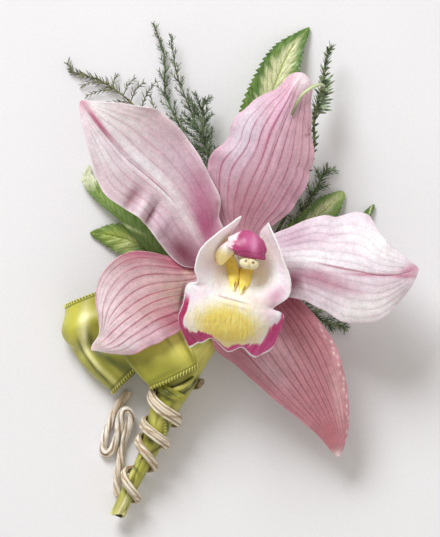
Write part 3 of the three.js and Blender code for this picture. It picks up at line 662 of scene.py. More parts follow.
def add_twine_wrap(paper):
    """The twine wound on the stems, flattened where it is tight."""
    turns = np.linspace(0, TWINE_END, 360)
    distance = smooth(TWINE_TURNS, turns / (len(TWINE_TURNS) - 1))
    count = np.interp(distance, STEM_LINE.run, STEM_LINE.raw_t) * LAST
    flat = 0.5 * step(distance, 12, 34)
    path = on_stem(count, -180 * turns, TWINE_OFF)
    rise = unit(path - stem_at(count)[0])
    side = unit(np.cross(unit(np.gradient(path, axis=0)), rise))
    ang, along = circle(TWINE_SIDES), turns[:, None] / TWINE_END
    k = 0.94 + 0.08 * np.cos(5 * ang + 22 * along) + 0.06 * noise2(along * 60, 2 * np.cos(ang), 4)
    wide, thick = 1.12 * (1 + flat)[:, None] * k, 0.86 * (1 - 0.22 * flat)[:, None] * k
    rings = rings_about(path, side, rise, wide * np.cos(ang), thick * np.sin(ang))
    # painted shade: in the grooves of the twist and on the side that faces the stems
    groove = 1.4 * np.clip(-np.cos(5 * ang + 22 * along) - 0.35, 0, 1)
    groove = groove + 0.8 * step(-np.sin(ang), -0.2, 0.5)
    flaw = noise2(turns[:, None] * 9 + 2 * np.cos(ang), 2 * np.sin(ang), 5)
    tint = coats(plain("f0e6d0", rings), ("684c30", 0.9 * np.clip(groove, 0, 1)),
                 ("ac8e6a", 0.7 * step(flaw, 0.1, 0.5)))
    Mesh().tube(rings, tint).place("paper_twine_winding", paper, "paper_twine", "twine_wrap")


# ---------------- petals and sepals
FAN = 0.15                  # share of the rib over which a blade's direction is taken


def blade(shape, nu, nv, edge=None):
    """Points of a petal or leaf, with its share along, its signed share across and its half width."""
    line = Line(shape["rib"])
    u, v = grid(nu, nv)
    t, s = 1 - (1 - u) ** 1.4, 1 - 2 * v

    def sided(left, right):
        return np.where(s > 0, smooth(shape[left], t), smooth(shape[right], t))

    chord = line.at(np.minimum(1, t + FAN)) - line.at(np.maximum(0, t - FAN))
    side = unit(chord[..., [1, 0, 0]] * (-1, 1, 0))
    over = shape["round"]
    tip = np.sqrt(np.maximum(0, 1 - np.maximum(0, (t - over) / (1 - over)) ** 2))
    width = sided("left", "right") * tip
    for at, which, spread, grow in shape.get("bumps", ()):
        width = width * (1 + grow * bell(t, at, spread) * (s * which > 0))
    width = np.maximum(0.3, width)
    if edge is not None:
        width = width * edge(t, s, line.length)
    p = line.at(t) + side * (s * width)[..., None]
    p[..., 2] += sided("lift_left", "lift_right") * s * s * np.minimum(1, width / 4)
    return p, t, s, width


# Each petal: its rib, its half widths and the lifts of its edges, where its tip rounds off, bumps of the
# outline (share along, side, spread, growth), its skin (see tepal_material), the colours of its ground
# and rim, and the soft patches painted on it (see washes), a few of them painted highlights and shade.
TEPALS = {
    "dorsal_sepal": dict(
        rib=[[0.4, 8.2, 13.8], [0.6, 14, 15], [3.2, 20.5, 16.6], [6.9, 29, 18.6], [9.6, 37, 19.8],
            [12.4, 43.6, 20], [14.2, 48, 19.4], [16.6, 53, 18.2]],
        left=[3.2, 7.4, 12.6, 14.6, 12.5, 12, 9.3, 4.4, 3.2],
        right=[3.2, 8, 10.6, 11.6, 11.9, 10.7, 7.6, 5.2, 3.4],
        lift_left=[0, -0.6, -1.4, -2.2, -3, -3.4, -3.4, -1.6, -0.6],
        lift_right=[0, -0.6, -1.6, -2.8, -3.8, -4.2, -3.4, -2, -0.6], round=0.93,
        bumps=[(0.66, 1, 0.03, 0.02), (0.545, 1, 0.03, -0.03), (0.5, -1, 0.02, -0.04)],
        skin=("sepal_skin_top", 10, "962256", 0.74, 0.4, 0.4, 0.1), ground="cda2b4", rim="d6a8ba",
        # the first patch is a painted highlight on the sepal's left half
        spots=[(0.5, 37, 13, 4.8, 68, "d8cedc", 0.95), (-7, 27, 9, 4, 75, "bc92a4", 0.7),
            (17, 37, 12, 3.8, 86, "e8becd", 0.85), (10, 38, 12, 3, 70, "e2becf", 0.8),
            (9.4, 41, 10, 0.45, 68, "ba5c8a", 0.6), (10.6, 43.4, 5, 2.6, 66, "e0bad0", 0.7),
            (1, 17, 8, 6.5, 75, "ae7c88", 0.9), (12, 20, 6, 4, 60, "c496a8", 0.6),
            (16.5, 51, 3, 2.6, 60, "f1e8ed", 0.9), (17.9, 36.7, 1.5, 0.3, 8, "965454", 0.8),
            (18.3, 38.3, 1.1, 0.3, 50, "ac686e", 0.6)]),
    "left_petal": dict(
        rib=[[-3.6, 5.6, 15.9], [-10.6, 7, 17.6], [-14, 13.4, 19.6], [-18.1, 19.2, 21.4],
            [-24, 24.6, 23.6], [-30.6, 30.2, 25.8], [-36, 36, 27.6], [-39.6, 40.4, 28.4],
            [-42.6, 45.6, 28]],
        left=[3.4, 7.2, 9.6, 9.8, 10.2, 10.9, 7.5, 3.8, 1.4],
        right=[3.4, 8.2, 10.4, 11.9, 14.5, 15.5, 14.6, 9.4, 1.6],
        lift_left=[0, 0.1, 0.5, 0.8, 1.4, 1, 0.4, 0.6, 0.4],
        lift_right=[0, -0.4, -1.2, -2.2, -2.8, -2.4, -1.2, 0.8, 0.4], round=0.95,
        skin=("petal_skin_left", 10, "b05482", 0.3, 0.5, 0.8, 0.15), ground="dfcad4", rim="f4e8ec",
        spots=[(-34, 41, 7, 4.5, -20, "eeebec", 0.85), (-27, 41.5, 7, 3, -20, "eadde0", 0.7),
            (-20, 37.5, 7, 3, -48, "c7adb5", 0.75), (-17, 30, 8, 3, -62, "d0b8c8", 0.7),
            (-11, 22, 8, 3.6, -72, "c08ca4", 0.9), (-9.8, 12.5, 9, 4.6, -84, "b46084", 1),
            (-37.4, 33, 9, 3, -62, "f2eef4", 0.92), (-27, 29.5, 10, 2.4, -46, "f3f0f6", 0.92),
            (-31.2, 30, 5, 1.7, -62, "f1e9f1", 0.85), (-31, 20.8, 2.6, 1.8, -40, "e2ccd4", 0.7),
            (-20, 21.5, 7, 1.7, -54, "f4f1f6", 0.95), (-14, 13, 7, 1.5, -60, "f0e4e9", 0.95),
            (-26, 20, 6, 3, -45, "cdb4c0", 0.7), (-21, 12.6, 4, 2.4, -50, "dec4d4", 0.85),
            # the next two patches are painted shade at the petal's base
            (-15.6, 5.2, 6.4, 3.6, -48, "803e52", 0.98), (-11.6, 1.6, 3.4, 2, -40, "925468", 0.8),
            # (-29, 20) and (-24.2, 15.2) are painted shade on the ripples, and (-26.4, 17) a painted
            # highlight between them
            (-29, 20, 3.6, 1.5, 58, "a67682", 0.8), (-24.2, 15.2, 3.2, 0.8, 58, "925c6a", 0.85),
            (-26.4, 17, 2.8, 1.1, 58, "eee0e8", 0.85), (-38.2, 40, 8, 0.7, -53, "b84c74", 0.9),
            (-42.4, 45, 2.2, 1.6, -50, "d096b0", 0.7), (-38, 44.4, 2.6, 1.4, -10, "f6f4f5", 0.8)]),
    "right_petal": dict(
        rib=[[3.45, 3.6, 15.7], [10.4, 2.9, 17.7], [16.2, 3, 19.4], [21.5, 2.2, 20.8], [26.7, 1.1, 22],
            [31.9, 0.1, 22.8], [37.1, -1, 23], [42.4, -0.7, 22.2], [47.3, 0.9, 20.6]],
        left=[3.6, 7.4, 9.7, 12.6, 13.8, 15.2, 10.8, 7, 1.8],
        right=[3.6, 8.8, 9.9, 10.9, 12.3, 13.8, 12.2, 6.6, 1.8],
        lift_left=[0, -0.4, -1, -1.8, -2.4, -2.4, -1.6, -0.8, 0],
        lift_right=[0, -0.2, -0.6, -1.4, -2.6, -3.4, -3, -1.4, 0], round=0.94,
        bumps=[(0.44, 1, 0.03, -0.04), (0.53, 1, 0.05, 0.065)],
        skin=("petal_skin_right", 12, "c880a4", 0.1, 0.6, 0.75, 0.16), ground="e8dce6", rim="e2ccd6",
        spots=[(14, 9.5, 6, 4, 20, "c6a6bb", 0.85), (27, 13.4, 10, 2.8, 4, "d6c8d4", 0.85),
            (36, 7, 9, 4.5, -30, "f9f7fb", 0.9), (17.6, 3.4, 9, 2.4, -4, "fafafd", 0.95),
            # (13.6, -2.2) is painted shade in the crease at the base, (17.6, -4.2) a painted highlight
            # along a fold and (20.4, -1) painted shade beside it
            (29, 2.6, 7, 1.8, -8, "eeedf3", 0.7), (13.6, -2.2, 4.6, 3.6, 15, "7c3c4e", 1),
            (17.6, -4.2, 0.7, 2.8, 12, "f6e2ec", 0.9), (24.4, -3.2, 8, 2.2, -16, "c698aa", 0.92),
            (33, -10, 9, 3.6, 14, "fdfafd", 0.95), (38, -3.4, 4, 2, 0, "e4d4df", 0.7),
            (21, 9, 7, 1, 8, "ceaec2", 0.45), (38, -0.9, 10, 0.55, -2, "b44c74", 0.9),
            (20.4, -1, 3.6, 2, -10, "b07a8e", 0.75), (45, 0.4, 3.4, 1.6, 24, "c6809c", 0.85)]),
    "left_lateral_sepal": dict(
        rib=[[-3.6, 0.2, 13.8], [-10.2, -3, 15.5], [-15.3, -4.6, 17.2], [-20.4, -5.6, 18.6],
            [-25.3, -7.2, 19.5], [-29.6, -10.2, 19.8], [-33.6, -13.6, 19.6], [-36.8, -17, 18.6],
            [-39.8, -20.9, 16.8]],
        left=[3.4, 7, 8.7, 10.6, 11.8, 11.6, 10.4, 8.4, 0.9],
        right=[3.4, 5, 7.4, 10.2, 13, 12.8, 8.6, 1.6, 0.9],
        lift_left=[0, 0, -0.4, -0.8, -1.2, -1.4, -1.6, -1.6, 0],
        lift_right=[0, -0.5, -0.3, 1.1, 2.4, 2.6, 1.8, 0.8, 0], round=0.95,
        skin=("sepal_skin_left", 10, "9e1e4c", 0.84, 0.4, 0, 0.1), ground="d3aab3", rim="c47c8c",
        spots=[(-35.4, -8, 13, 4.8, 84, "f7e2ea", 0.94), (-31.6, -15, 8.4, 4.4, 30, "f8e0e8", 0.85),
            (-27, -18, 9, 2.8, 18, "f7d2e2", 0.88), (-17.5, -5.4, 5.5, 4.6, 0, "caac9e", 0.88),
            (-24.5, -10.5, 5, 3, 10, "cea6a5", 0.6), (-18.4, -13, 4, 3, -40, "ca7a8d", 0.85),
            (-26, 5.2, 12, 1.3, 3, "c46484", 0.8), (-37.4, -3, 5, 1.2, 78, "f4e2ea", 0.8),
            (-27.4, -4.4, 3, 1.6, 30, "e2c8d0", 0.6), (-16.6, 2, 5.4, 1.8, -16, "c25874", 0.85),
            (-24.6, -2.4, 5, 2.2, 14, "e0bec0", 0.6), (-15.4, -7.4, 2.2, 3.6, 0, "a0887a", 0.7),
            (-16, -6.8, 3.4, 0.42, 78, "402422", 0.92), (-14.6, -0.4, 1.3, 1, -30, "e2c4b0", 0.8),
            (-38.2, -20.2, 2.6, 2.2, 0, "f4e2de", 0.95), (-37.6, -9, 6, 1.5, 88, "fceef3", 0.85),
            (-34.6, -20.4, 4.4, 1.4, 6, "fdeaf2", 0.8), (-30.6, -19.6, 3.6, 2, 14, "ffeef6", 0.85),
            (-36.4, 0.6, 3, 2.2, 60, "f2dade", 0.7), (-29.6, 3, 3.4, 1.5, 10, "c88690", 0.5)]),
    "right_lateral_sepal": dict(
        rib=[[1.6, 1.2, 13.8], [6.4, -8, 14.6], [10.8, -15.7, 15.2], [13.9, -21.6, 15.4],
            [17, -27.2, 15], [20, -32.6, 14], [22.9, -38, 12.4], [25.1, -43.6, 10.4],
            [26.1, -49.3, 8]],
        left=[3.4, 6.6, 8.5, 10.2, 11, 9.8, 7.2, 4.2, 1.2],
        right=[3.4, 13, 17.8, 15, 12.4, 9.8, 7, 4.2, 1.2],
        lift_left=[0, 0, 0.2, 0.6, 1, 1.2, 1, 0.4, 0],
        lift_right=[0, 0.4, 0.8, -0.6, -1, -0.8, -0.4, 0, 0], round=0.96,
        skin=("sepal_skin_right", 12, "961642", 0.72, 0.5, 0, 0.1), ground="c38692", rim="ce8c9e",
        spots=[(13.6, -8.6, 8, 5.4, -48, "ac6070", 0.85), (19.6, -18, 7, 3, -60, "ce9098", 0.6),
            (10, -20.4, 7, 3.4, -46, "facad8", 0.9), (7.4, -25.6, 7, 2.6, -44, "e4becc", 0.85),
            (22.4, -25, 8, 2.6, -70, "bb848d", 0.6), (26, -34, 10, 1.6, -84, "e2b4b8", 0.8),
            (23.8, -43, 5, 3, -74, "d0808a", 0.7), (26, -49.2, 1.7, 1.6, 0, "f6e6e4", 0.95)]),
}
# Dents and swellings beside each other on the left petal: x, y, height, half width.
FOLDS = ((-29.0, 19.4, -0.7, 1.2), (-26.3, 17.3, 1.1, 1.1), (-24.2, 15.0, -1.5, 0.95),
         (-21.4, 12.6, 1.0, 1.8))


def petal_relief(name, p, t, s, width):
    """Ripples, channels between veins and a dimple or two, laid on the plain blade."""
    x, y = p[..., 0], p[..., 1]
    z = 0.035 * np.cos(TAU * 6 * s) * step(t, 0.05, 0.25) * step(1 - t, 0, 0.2)
    z = z + 0.45 * noise2(t * 5 + 3, s * 1.2 + 9, len(name)) * s**2 * step(width, 2, 7)
    ripple = np.sin(TAU * (t * 7 + 0.4 * np.sin(5 * t))) * np.abs(s) ** 5
    z = z + 0.35 * ripple * step(t, 0.15, 0.35) * step(width, 2, 6)
    if name == "left_petal":
        z = z - 0.6 * bell(s, 0, 0.045) * step(t, 0.35, 0.7) * step(1 - t, 0, 0.12)
        for cx, cy, height, spread in FOLDS:
            along, across = (x - cx) * 0.50 + (y - cy) * 0.86, (y - cy) * 0.50 - (x - cx) * 0.86
            z = z + height * bell(along, 0, 3.6) * bell(across, 0, spread)
    if name == "right_petal":
        across = (x - 14.5) * 0.8 + (y - 1.5) * 0.25
        z = z - 0.9 * bell(across, 0, 1.6) * bell(y, -1, 5)
        z = z - 0.5 * bell(s, 0, 0.035) * step(t, 0.55, 0.8) * step(1 - t, 0, 0.12)
    if name == "dorsal_sepal":
        z = z + 0.5 * bell(s, 0.12, 0.02**0.5) * step(t, 0.4, 0.7) * step(1 - t, 0, 0.15)
    if name == "left_lateral_sepal":
        z = z + 0.5 * bell(t, 0.93, 0.04) * (1 - s * s)
    return z


def add_tepal(name, skin):
    shape = TEPALS[name]
    p, t, s, width = blade(shape, 110, 84)
    p = p + up_normals(p) * petal_relief(name, p, t, s, width)[..., None]
    rim = step(np.abs(s), 0.94, 1.0) * step(width, 1.0, 4.0)
    ground = coats(washes(plain(shape["ground"], p), p, shape["spots"]), (shape["rim"], 0.6 * rim))
    if name == "right_lateral_sepal":
        for k in range(19):
            at, off = 0.40 + 0.029 * k + 0.007 * np.sin(5.0 * k), 0.945 - 0.03 * (k % 3)
            dot = bell(t, at, 0.008) * bell(s, off, 0.020 + 0.0016 * k)
            ground = coats(ground, ("fceae4", (0.65 + 0.35 * (k % 2)) * dot))
    rear = coats(ground * 0.55 + 0.45 * rgb("e2ccd0"), ("c4ce96", 0.45 * bell(s, 0, 0.16)))
    thickness = TEPAL * (1 - 0.62 * s**4) * (1 - 0.45 * step(t, 0.8, 1.0))
    finish = "petal_pale" if name.endswith("petal") else "sepal_rose"
    petal = Mesh().sheet(p, thickness, ground, rear, np.stack([t, 0.5 + 0.5 * s], axis=-1))
    petal.place(name + "_petal", skin, finish, name, angle=50)


# ---------------- the lip
# Rows of points from the throat to the front edge, each from left to right.
LIP_NET = [
    [[0, 14.9, 28], [-2.6, 10.5, 23], [-3.7, 6, 19.4], [0.8, 2.5, 17.4], [5.6, 5.2, 19.4],
     [5.4, 10.4, 23], [7.2, 13.1, 28]],
    [[-6.7, 10.1, 30.5], [-5.8, 6.3, 24.5], [-4.5, 3, 20], [0.2, 0.2, 18.8], [5.4, 2.4, 20],
     [8, 6, 24.5], [9.6, 8, 30]],
    [[-10.9, 6.1, 31.5], [-8.2, 3.4, 25.5], [-4.8, 0.4, 21.3], [-0.5, -1.2, 20.3], [4.2, 0, 21.3],
     [8.8, 2.6, 25.5], [11.4, 3.2, 30.5]],
    [[-12.5, 1.1, 31], [-8.8, -0.4, 27], [-5, -2.2, 23.6], [-1.2, -3, 22.8], [2.6, -3, 23.6],
     [9.2, -1.6, 27], [13.3, -2.1, 30.5]],
    [[-11.8, -2.4, 30], [-8.8, -3.5, 28], [-5.6, -4.6, 26.5], [-1.6, -5.2, 26], [2.1, -5.3, 26.5],
     [7.9, -5.4, 28.4], [12.7, -6.6, 30]],
    [[-14.4, -3.4, 28.5], [-10.9, -5.3, 29.5], [-6.9, -7, 29.5], [-1.9, -8, 29.5], [2.4, -8.5, 30],
     [6, -8.9, 29.6], [8.6, -9.7, 28.6]],
    [[-15.4, -8.3, 26.8], [-12, -10.1, 29.6], [-7.7, -11.7, 30.3], [-2.1, -12.8, 30],
     [2.9, -12.8, 30.3], [7.4, -12.2, 29.8], [11.4, -11.3, 27.5]],
    [[-16.6, -12.8, 23.8], [-13.1, -14.7, 27], [-8.3, -16.3, 28.6], [-2.4, -17.3, 28.3],
     [2.9, -17.3, 28.4], [7.6, -15.6, 27.6], [11.3, -13.8, 25]],
    [[-13.8, -20.2, 21], [-10.9, -18.9, 24], [-8, -18, 26.2], [-3.6, -20.8, 23], [0.2, -20.4, 25],
     [4.6, -22.7, 21.8], [9.2, -18.8, 22.4]],
]
LIP_SPOTS = [(-9, 1.4, 3.4, 2.4, 60, "e8d4e8", 0.6), (9.2, -6.6, 4.2, 2.4, 40, "c28ca8", 0.85),
    (-11, -5.6, 3.4, 2, 10, "e2d0d8", 0.7), (4, -8.2, 3.4, 1.8, -10, "d0b8b2", 0.75),
    (10.8, 1.2, 1, 5.2, 10, "e2cee4", 0.5), (-3.8, 6.6, 2.4, 3.4, 0, "f0e6be", 0.9),
    (-4.4, 3.4, 1.6, 2.6, 0, "e8d070", 0.85), (5.6, -1.2, 2.4, 3.4, 0, "fcf0d0", 0.85),
    (5.4, 4.2, 2.2, 3.4, 0, "fcf4e2", 0.7), (-0.8, -2.2, 3.4, 4.4, 0, "faeaa8", 0.75),
    (-5.6, -2.6, 1.6, 3.4, 0, "e8dcda", 0.7), (0.2, -8.2, 6.5, 1.6, -10, "f6eee0", 0.6),
    (7, -11.4, 2.4, 2, 0, "eccedc", 0.7), (-14.6, -12.6, 1.6, 2.6, 0, "f0deec", 0.6),
    (-12.4, -7.2, 2.4, 2, 60, "ecdaea", 0.5)]


def net(rows, nu, nv):
    """Grid of points through a net: rows run along u and each row along v."""
    u, v = grid(nu, nv)
    across = np.stack([smooth(row, v[0]) for row in rows])
    return smooth(across.reshape(len(rows), -1), u[:, 0]).reshape(nu + 1, nv + 1, 3), u, v


def add_lip():
    p, u, v = net(LIP_NET, 200, 176)
    n = up_normals(p)
    side = np.abs(2 * v - 1)
    d = np.full(p.shape[:2], 1e9)
    for q in np.concatenate([p[-1], p[140:, 0], p[156:, -1]]):
        d = np.minimum(d, np.linalg.norm(p - q, axis=-1))
    x, y = p[..., 0], p[..., 1]
    oval = ((x + 3.7) / 9.2) ** 2 + ((y + 14.6 + 0.13 * x) / 5.7) ** 2
    velvet = np.exp(-(oval**1.5)) * step(u, 0.55, 0.64)
    frill = np.sin(TAU * (v * 4.5 + 0.25 * np.sin(7 * v))) * np.exp(-d / 2.4) * step(u, 0.6, 0.8)
    ray, pile = noise2(v * 74, u * 13, 7), noise2(v * 120, u * 30, 9)
    z = 0.5 * frill + 0.07 * noise2(x * 1.5, y * 1.5, 7) + 0.09 * velvet * (ray + pile)
    z = z + 0.3 * np.sin(v * TAU * 4 + 3 * u) * step(side, 0.7, 1.0) * step(0.62 - u, 0, 0.2)
    fold, off = y + 0.27 * (x + 2.2), x + 2.2
    crease = bell(fold, -7.6, 0.34) * np.exp(-((off / 3.6) ** 4))
    z = z - 0.45 * crease + 0.3 * bell(fold, -8.6, 0.6) * np.exp(-((off / 4.5) ** 4))
    p = p + n * z[..., None]
    grain = 0.30 * ray + 0.45 * noise2(x * 2.6, y * 0.9, 3) + 0.35 * noise2(x * 1.1, y * 0.5, 4)
    patch = np.clip(1.3 * velvet - 0.06 + 1.1 * grain * velvet * (1 - velvet), 0, 1)
    wide = 1.7 + 3.7 * bell(x, 7, 4.2) * step(-y, 11.5, 15) + 3.6 * bell(x, -12, 3.4) * step(-y, 13, 18)
    wide = wide + 0.5 * bell(x, -15, 3) - 0.5 * bell(x, -5.2, 2.4) + 1.3 * bell(x, -1.8, 1.7)
    wide = wide + 2.4 * bell(x, -11, 2.6) * step(-y, 15.5, 18.5)
    feather = 0.55 * noise2(v * 66, u * 3, 2) + 0.5 * noise2(v * 86, u * 9, 6)
    wide = wide + feather * step(wide, 1.2, 2.6) + 0.25 * noise2(v * 20, u * 2, 5)
    edge = (1 - step(d, wide - 0.45, wide + 0.45)) * step(u, 0.66, 0.74)
    deep, pale = step(-x, 6, 14), step(noise2(v * 60, u * 22, 11), 0.1, 0.6)
    ground = coats(washes(plain("faf6f9", p), p - n * z[..., None], LIP_SPOTS),
                   ("603c2c", 0.9 * crease), ("e8d260", 0.95 * patch),
                   ("f4e89e", 0.4 * patch * step(grain, 0.0, 0.6)),
                   ("d2b038", 0.42 * patch * step(-grain, 0.1, 0.7) * step(-y, 9, 18)),
                   ("c60e7a", 0.97 * edge), ("98064a", 0.65 * edge * deep),
                   ("e070b2", 0.45 * edge * pale * (1 - 0.6 * deep)),
                   ("fffcff", 0.97 * (1 - step(d, 0.34, 0.58))))
    rear = coats(plain("eee2ea", p), ("b63a80", 0.8 * edge))
    thickness = LIP * (0.35 + 0.65 * step(d, 0.0, 2.6)) * (1 - 0.5 * step(side, 0.8, 1.0))
    lip = Mesh().sheet(p, thickness, ground, rear, np.stack([u, v], axis=-1))
    lip.place("lip_flared", lip_material(), "lip_white", "lip")
    return p


def height_at(p, x, y):
    """Height of the surface over x, y; the highest where it folds over itself."""
    d = np.hypot(p[..., 0] - x, p[..., 1] - y)
    return p[..., 2][d < d.min() + 0.25].max()


# The callus's two ridges: points over the lip, and half widths.
KEELS = (([[-3.4, 5.6], [-2.7, 2.4], [-2.1, -0.8], [-2.0, -5.0]], [1.5, 1.75, 1.4, 0.75]),
         ([[1.9, 2.4], [1.6, -0.2], [1.0, -2.8], [-0.1, -5.9]], [2.3, 2.1, 1.45, 0.7]))
SLIT = -0.55                # their dark slits lie left of their crests


def add_keels(lip, gold):
    """The golden ridges, which run out in a point with a dark slit."""
    share = np.linspace(0, 1, 60)
    for k, (run, wide) in enumerate(KEELS):
        path = Line([[x, y, height_at(lip, x, y) + 1.0] for x, y in run]).at(share)
        end = np.sin(np.pi * np.clip(share * 0.97 + 0.015, 0, 1)) ** 0.3
        rings = sweep(path, smooth(wide, share) * end, 0.9 * end, 28, 0.0,
                      lambda a, s: 1 + 0.05 * np.cos(3 * a + 5 * s) + 0.05 * noise2(s * 26, a * 1.5, 5))
        x, run_on = np.cos(circle(28)), share[:, None]
        slit = np.exp(-(((run_on - 0.86) / 0.11) ** 4)) * bell(x, SLIT, 0.22)
        tint = coats(plain("fee660", rings),
                     ("fff096", 0.7 * step(noise2(run_on * 14, x * 2, 3), 0, 0.6)),
                     ("f0c846", 0.5 * step(np.abs(x), 0.7, 1.0)),
                     ("fff6ce", 0.7 * step(run_on, 0.82, 1.0)), ("60281e", 0.95 * slit))
        Mesh().tube(rings, tint).place(f"lip_keel_{k + 1}", gold, "lip_white")


# ---------------- column and anther cap
COLUMN = [[0.6, 4.0, 12.8], [0.6, 4.2, 14.4], [0.9, 6.6, 17.8], [1.3, 7.3, 21.5],
          [1.5, 7.4, 25.0], [1.6, 7.2, 28.5], [1.7, 6.6, 31.5], [1.8, 5.6, 33.6]]
COLUMN_SIZES = [[2.4, 2.4], [2.3, 2.2], [2.3, 2.2], [2.5, 2.4], [3.4, 2.8], [4.8, 3.6], [5.0, 3.8],
                [2.2, 1.6]]
# Its wings and hollows: where round it in degrees, height as a share of the radius, spread.
COLUMN_LOBES = ((196, 0.10, 0.20), (322, 0.16, 0.2), (214, -0.10, 0.14), (304, -0.08, 0.14),
                (265, -0.20, 0.5), (132, -0.13, 0.36), (80, 0.05, 0.25))
DOME = 0.9                  # share of the column's length where its domed end begins


def add_column():
    """The hooded column, and the pale pad at its left."""
    round_off = np.sin(np.linspace(0, np.pi / 2, 26))[1:]
    share = np.concatenate([np.linspace(0, DOME, 70), DOME + (1 - DOME) * round_off])
    centre = Line(COLUMN).at(share)[:, None]
    dome = np.sqrt(np.clip(1 - np.clip((share - DOME) / (1 - DOME), 0, 1) ** 2, 0.003, 1))[:, None]
    half = np.where(share[:, None] > DOME, smooth(COLUMN_SIZES, DOME) * dome, smooth(COLUMN_SIZES, share))
    ang, hood = circle(96), step(share, 0.55, 0.75)[:, None]
    lobes = sum(height * near(ang, at, spread) for at, height, spread in COLUMN_LOBES)
    k = 1 + hood * (lobes + 0.015 * np.cos(11 * ang))
    x = centre[..., 0] + half[:, :1] * np.cos(ang) * k
    y = centre[..., 1] + half[:, 1:] * np.sin(ang) * k - 0.20 * hood * (x - 1.6)
    z = centre[..., 2] - 0.35 * hood * np.maximum(-np.sin(ang), 0)
    rings = np.stack([x, y, z], axis=-1)
    top = step(z + 0.35 * noise2(x * 1.6, y * 1.6, 2), 26.5, 29.0)
    blush = -x + 0.55 * (y - 6.4) - 2.5 + 0.5 * noise2(x * 2, y * 2, 6)
    tint = coats(plain("eee4ce", rings), ("d68cb2", 0.6 * step(z, 19, 26)), ("b24076", top),
                 ("961e5c", 0.7 * top * bell(x, 0.6, 1) * bell(y, 8.4, 3)),
                 ("fae6ee", 0.95 * top * step(blush, -0.5, 0.7)),
                 # painted highlights on the hood's upper middle, the brighter one to the right
                 ("e096c0", 0.85 * top * bell(x, 3.4, 1) * bell(y, 7.6, 2.4)),
                 ("ce68a0", 0.6 * top * bell(x, 1.4, 1.2) * bell(y, 8.6, 1.6)),
                 ("80164a", 0.85 * top * step(0.20 * (1.6 - x) - y, -4.6, -3.2)))
    column = Mesh().tube(rings, tint)
    lat, turn = np.linspace(0.02, np.pi - 0.02, 40)[:, None], circle(48)
    lump, fall = 1 + 0.06 * noise2(turn * 1.5, lat * 2, 4), np.sin(lat) * np.cos(turn)
    x = -3.9 + 2.9 * np.cos(lat) * lump * (1 + 0.30 * fall) + 1.1 * fall
    y = 5.3 + 3.4 * fall * lump + 1.0 * np.cos(lat)
    z = 26.4 + 2.0 * np.sin(lat) * np.sin(turn) + 0.75 * np.cos(lat) + 1.6 * fall
    pad = np.stack([x, y, z], axis=-1)
    drift = noise2(y * 2, x * 2, 3)
    tint = coats(plain("fff8ec", pad), ("fae4ee", 0.8 * step(y - 0.6 * x, 8.6, 10.8)),
                 ("ffec9c", 0.9 * step(-y - 0.3 * x, -5.4, -2.8)),
                 ("fce26e", 0.8 * step(x - 0.5 * y + 0.4 * drift, -5.4, -4.2) * step(5.4 - y, 0, 1.6)),
                 ("ce6894", 0.8 * step(x + 0.5 * drift, -2.4, -1.2) * step(y, 5.8, 6.8)))
    skin = waxy_material("column_skin", 0.42, 0.45, 2.2, 0.35, 0.1)
    column.tube(pad, tint).place("column_hood", skin, "column_magenta", "column", angle=80)


def add_cap():
    """The anther cap, with a groove and two brown pits."""
    ang, lat = circle(48), (np.linspace(0, 1, 34)[:, None] - 0.5) * np.pi
    r = np.maximum(np.cos(lat), 0.02) ** 0.8
    lobes = 1 - 0.10 * near(ang, -90, 0.3)
    x = 2.15 + 2.6 * r * np.cos(ang) * lobes
    y = 2.3 + 1.7 * r * np.sin(ang) * lobes - 0.25 * np.cos(ang) * r
    rings = np.stack([x, y, 31.4 + 1.5 * np.sin(lat) - 0.25 * bell(x, 2.15, 0.45) * r], axis=-1)
    tint = coats(plain("f0e8be", rings), ("d6be78", 0.5 * bell(x, 2.15, 0.35)))
    for px, py in ((1.25, 3.0), (3.25, 2.5)):
        pit = np.exp(-((((x - px) / 0.42) ** 2 + ((y - py) / 0.42) ** 2) ** 2))
        tint = coats(tint, ("7a4622", 0.95 * pit))
    wax = waxy_material("anther_wax", 0.4, 0.5, 3.4, 0.25, 0.15)
    Mesh().tube(rings, tint).place("anther_cap_lobed", wax, "anther_cream", "anther_cap", angle=80)


# ---------------- stalk and taped stems
def add_stems():
    path = Line([slot(0, 2.5), [-4.0, -7.0, 11.9], [-1.2, -2.0, 10.2], [0.5, 2.4, 10.1], STALK_TOP])
    share = np.linspace(0, 1, 70)
    radius = smooth([1.3, 1.4, 1.5, 1.5, 1.6], share)
    rings = sweep(path.at(share), radius, radius, 28, 0.0, lambda a, s: 1 + 0.03 * np.cos(6 * a))
    skin = stalk_material("stalk_skin", "708c3e", "a8b868", 0.5)
    Mesh().tube(rings, (0.3, 0.4, 0.1)).place("flower_stalk_ribbed", skin, "stalk_green", "flower_stalk")
    count = np.linspace(TAPE_FOOT, LAST, 150)
    point, _, side, up, r = stem_at(count)
    ang, count = circle(40), count[:, None]
    lap = np.mod(ang / TAU + count * 1.1, 1.0)
    k = (r - 0.9)[:, None] * (1 + 0.035 * lap + 0.02 * noise2(ang * 4, count * 3, 2))
    rings = rings_about(point, side, up, k * np.cos(ang), k * np.sin(ang))
    tape = stalk_material("floral_tape", "3e5c2c", "688246", 0.8, 90.0)
    Mesh().tube(rings, (0.2, 0.3, 0.1)).place("taped_stems_wound", tape, "stem_tape", "taped_stems")


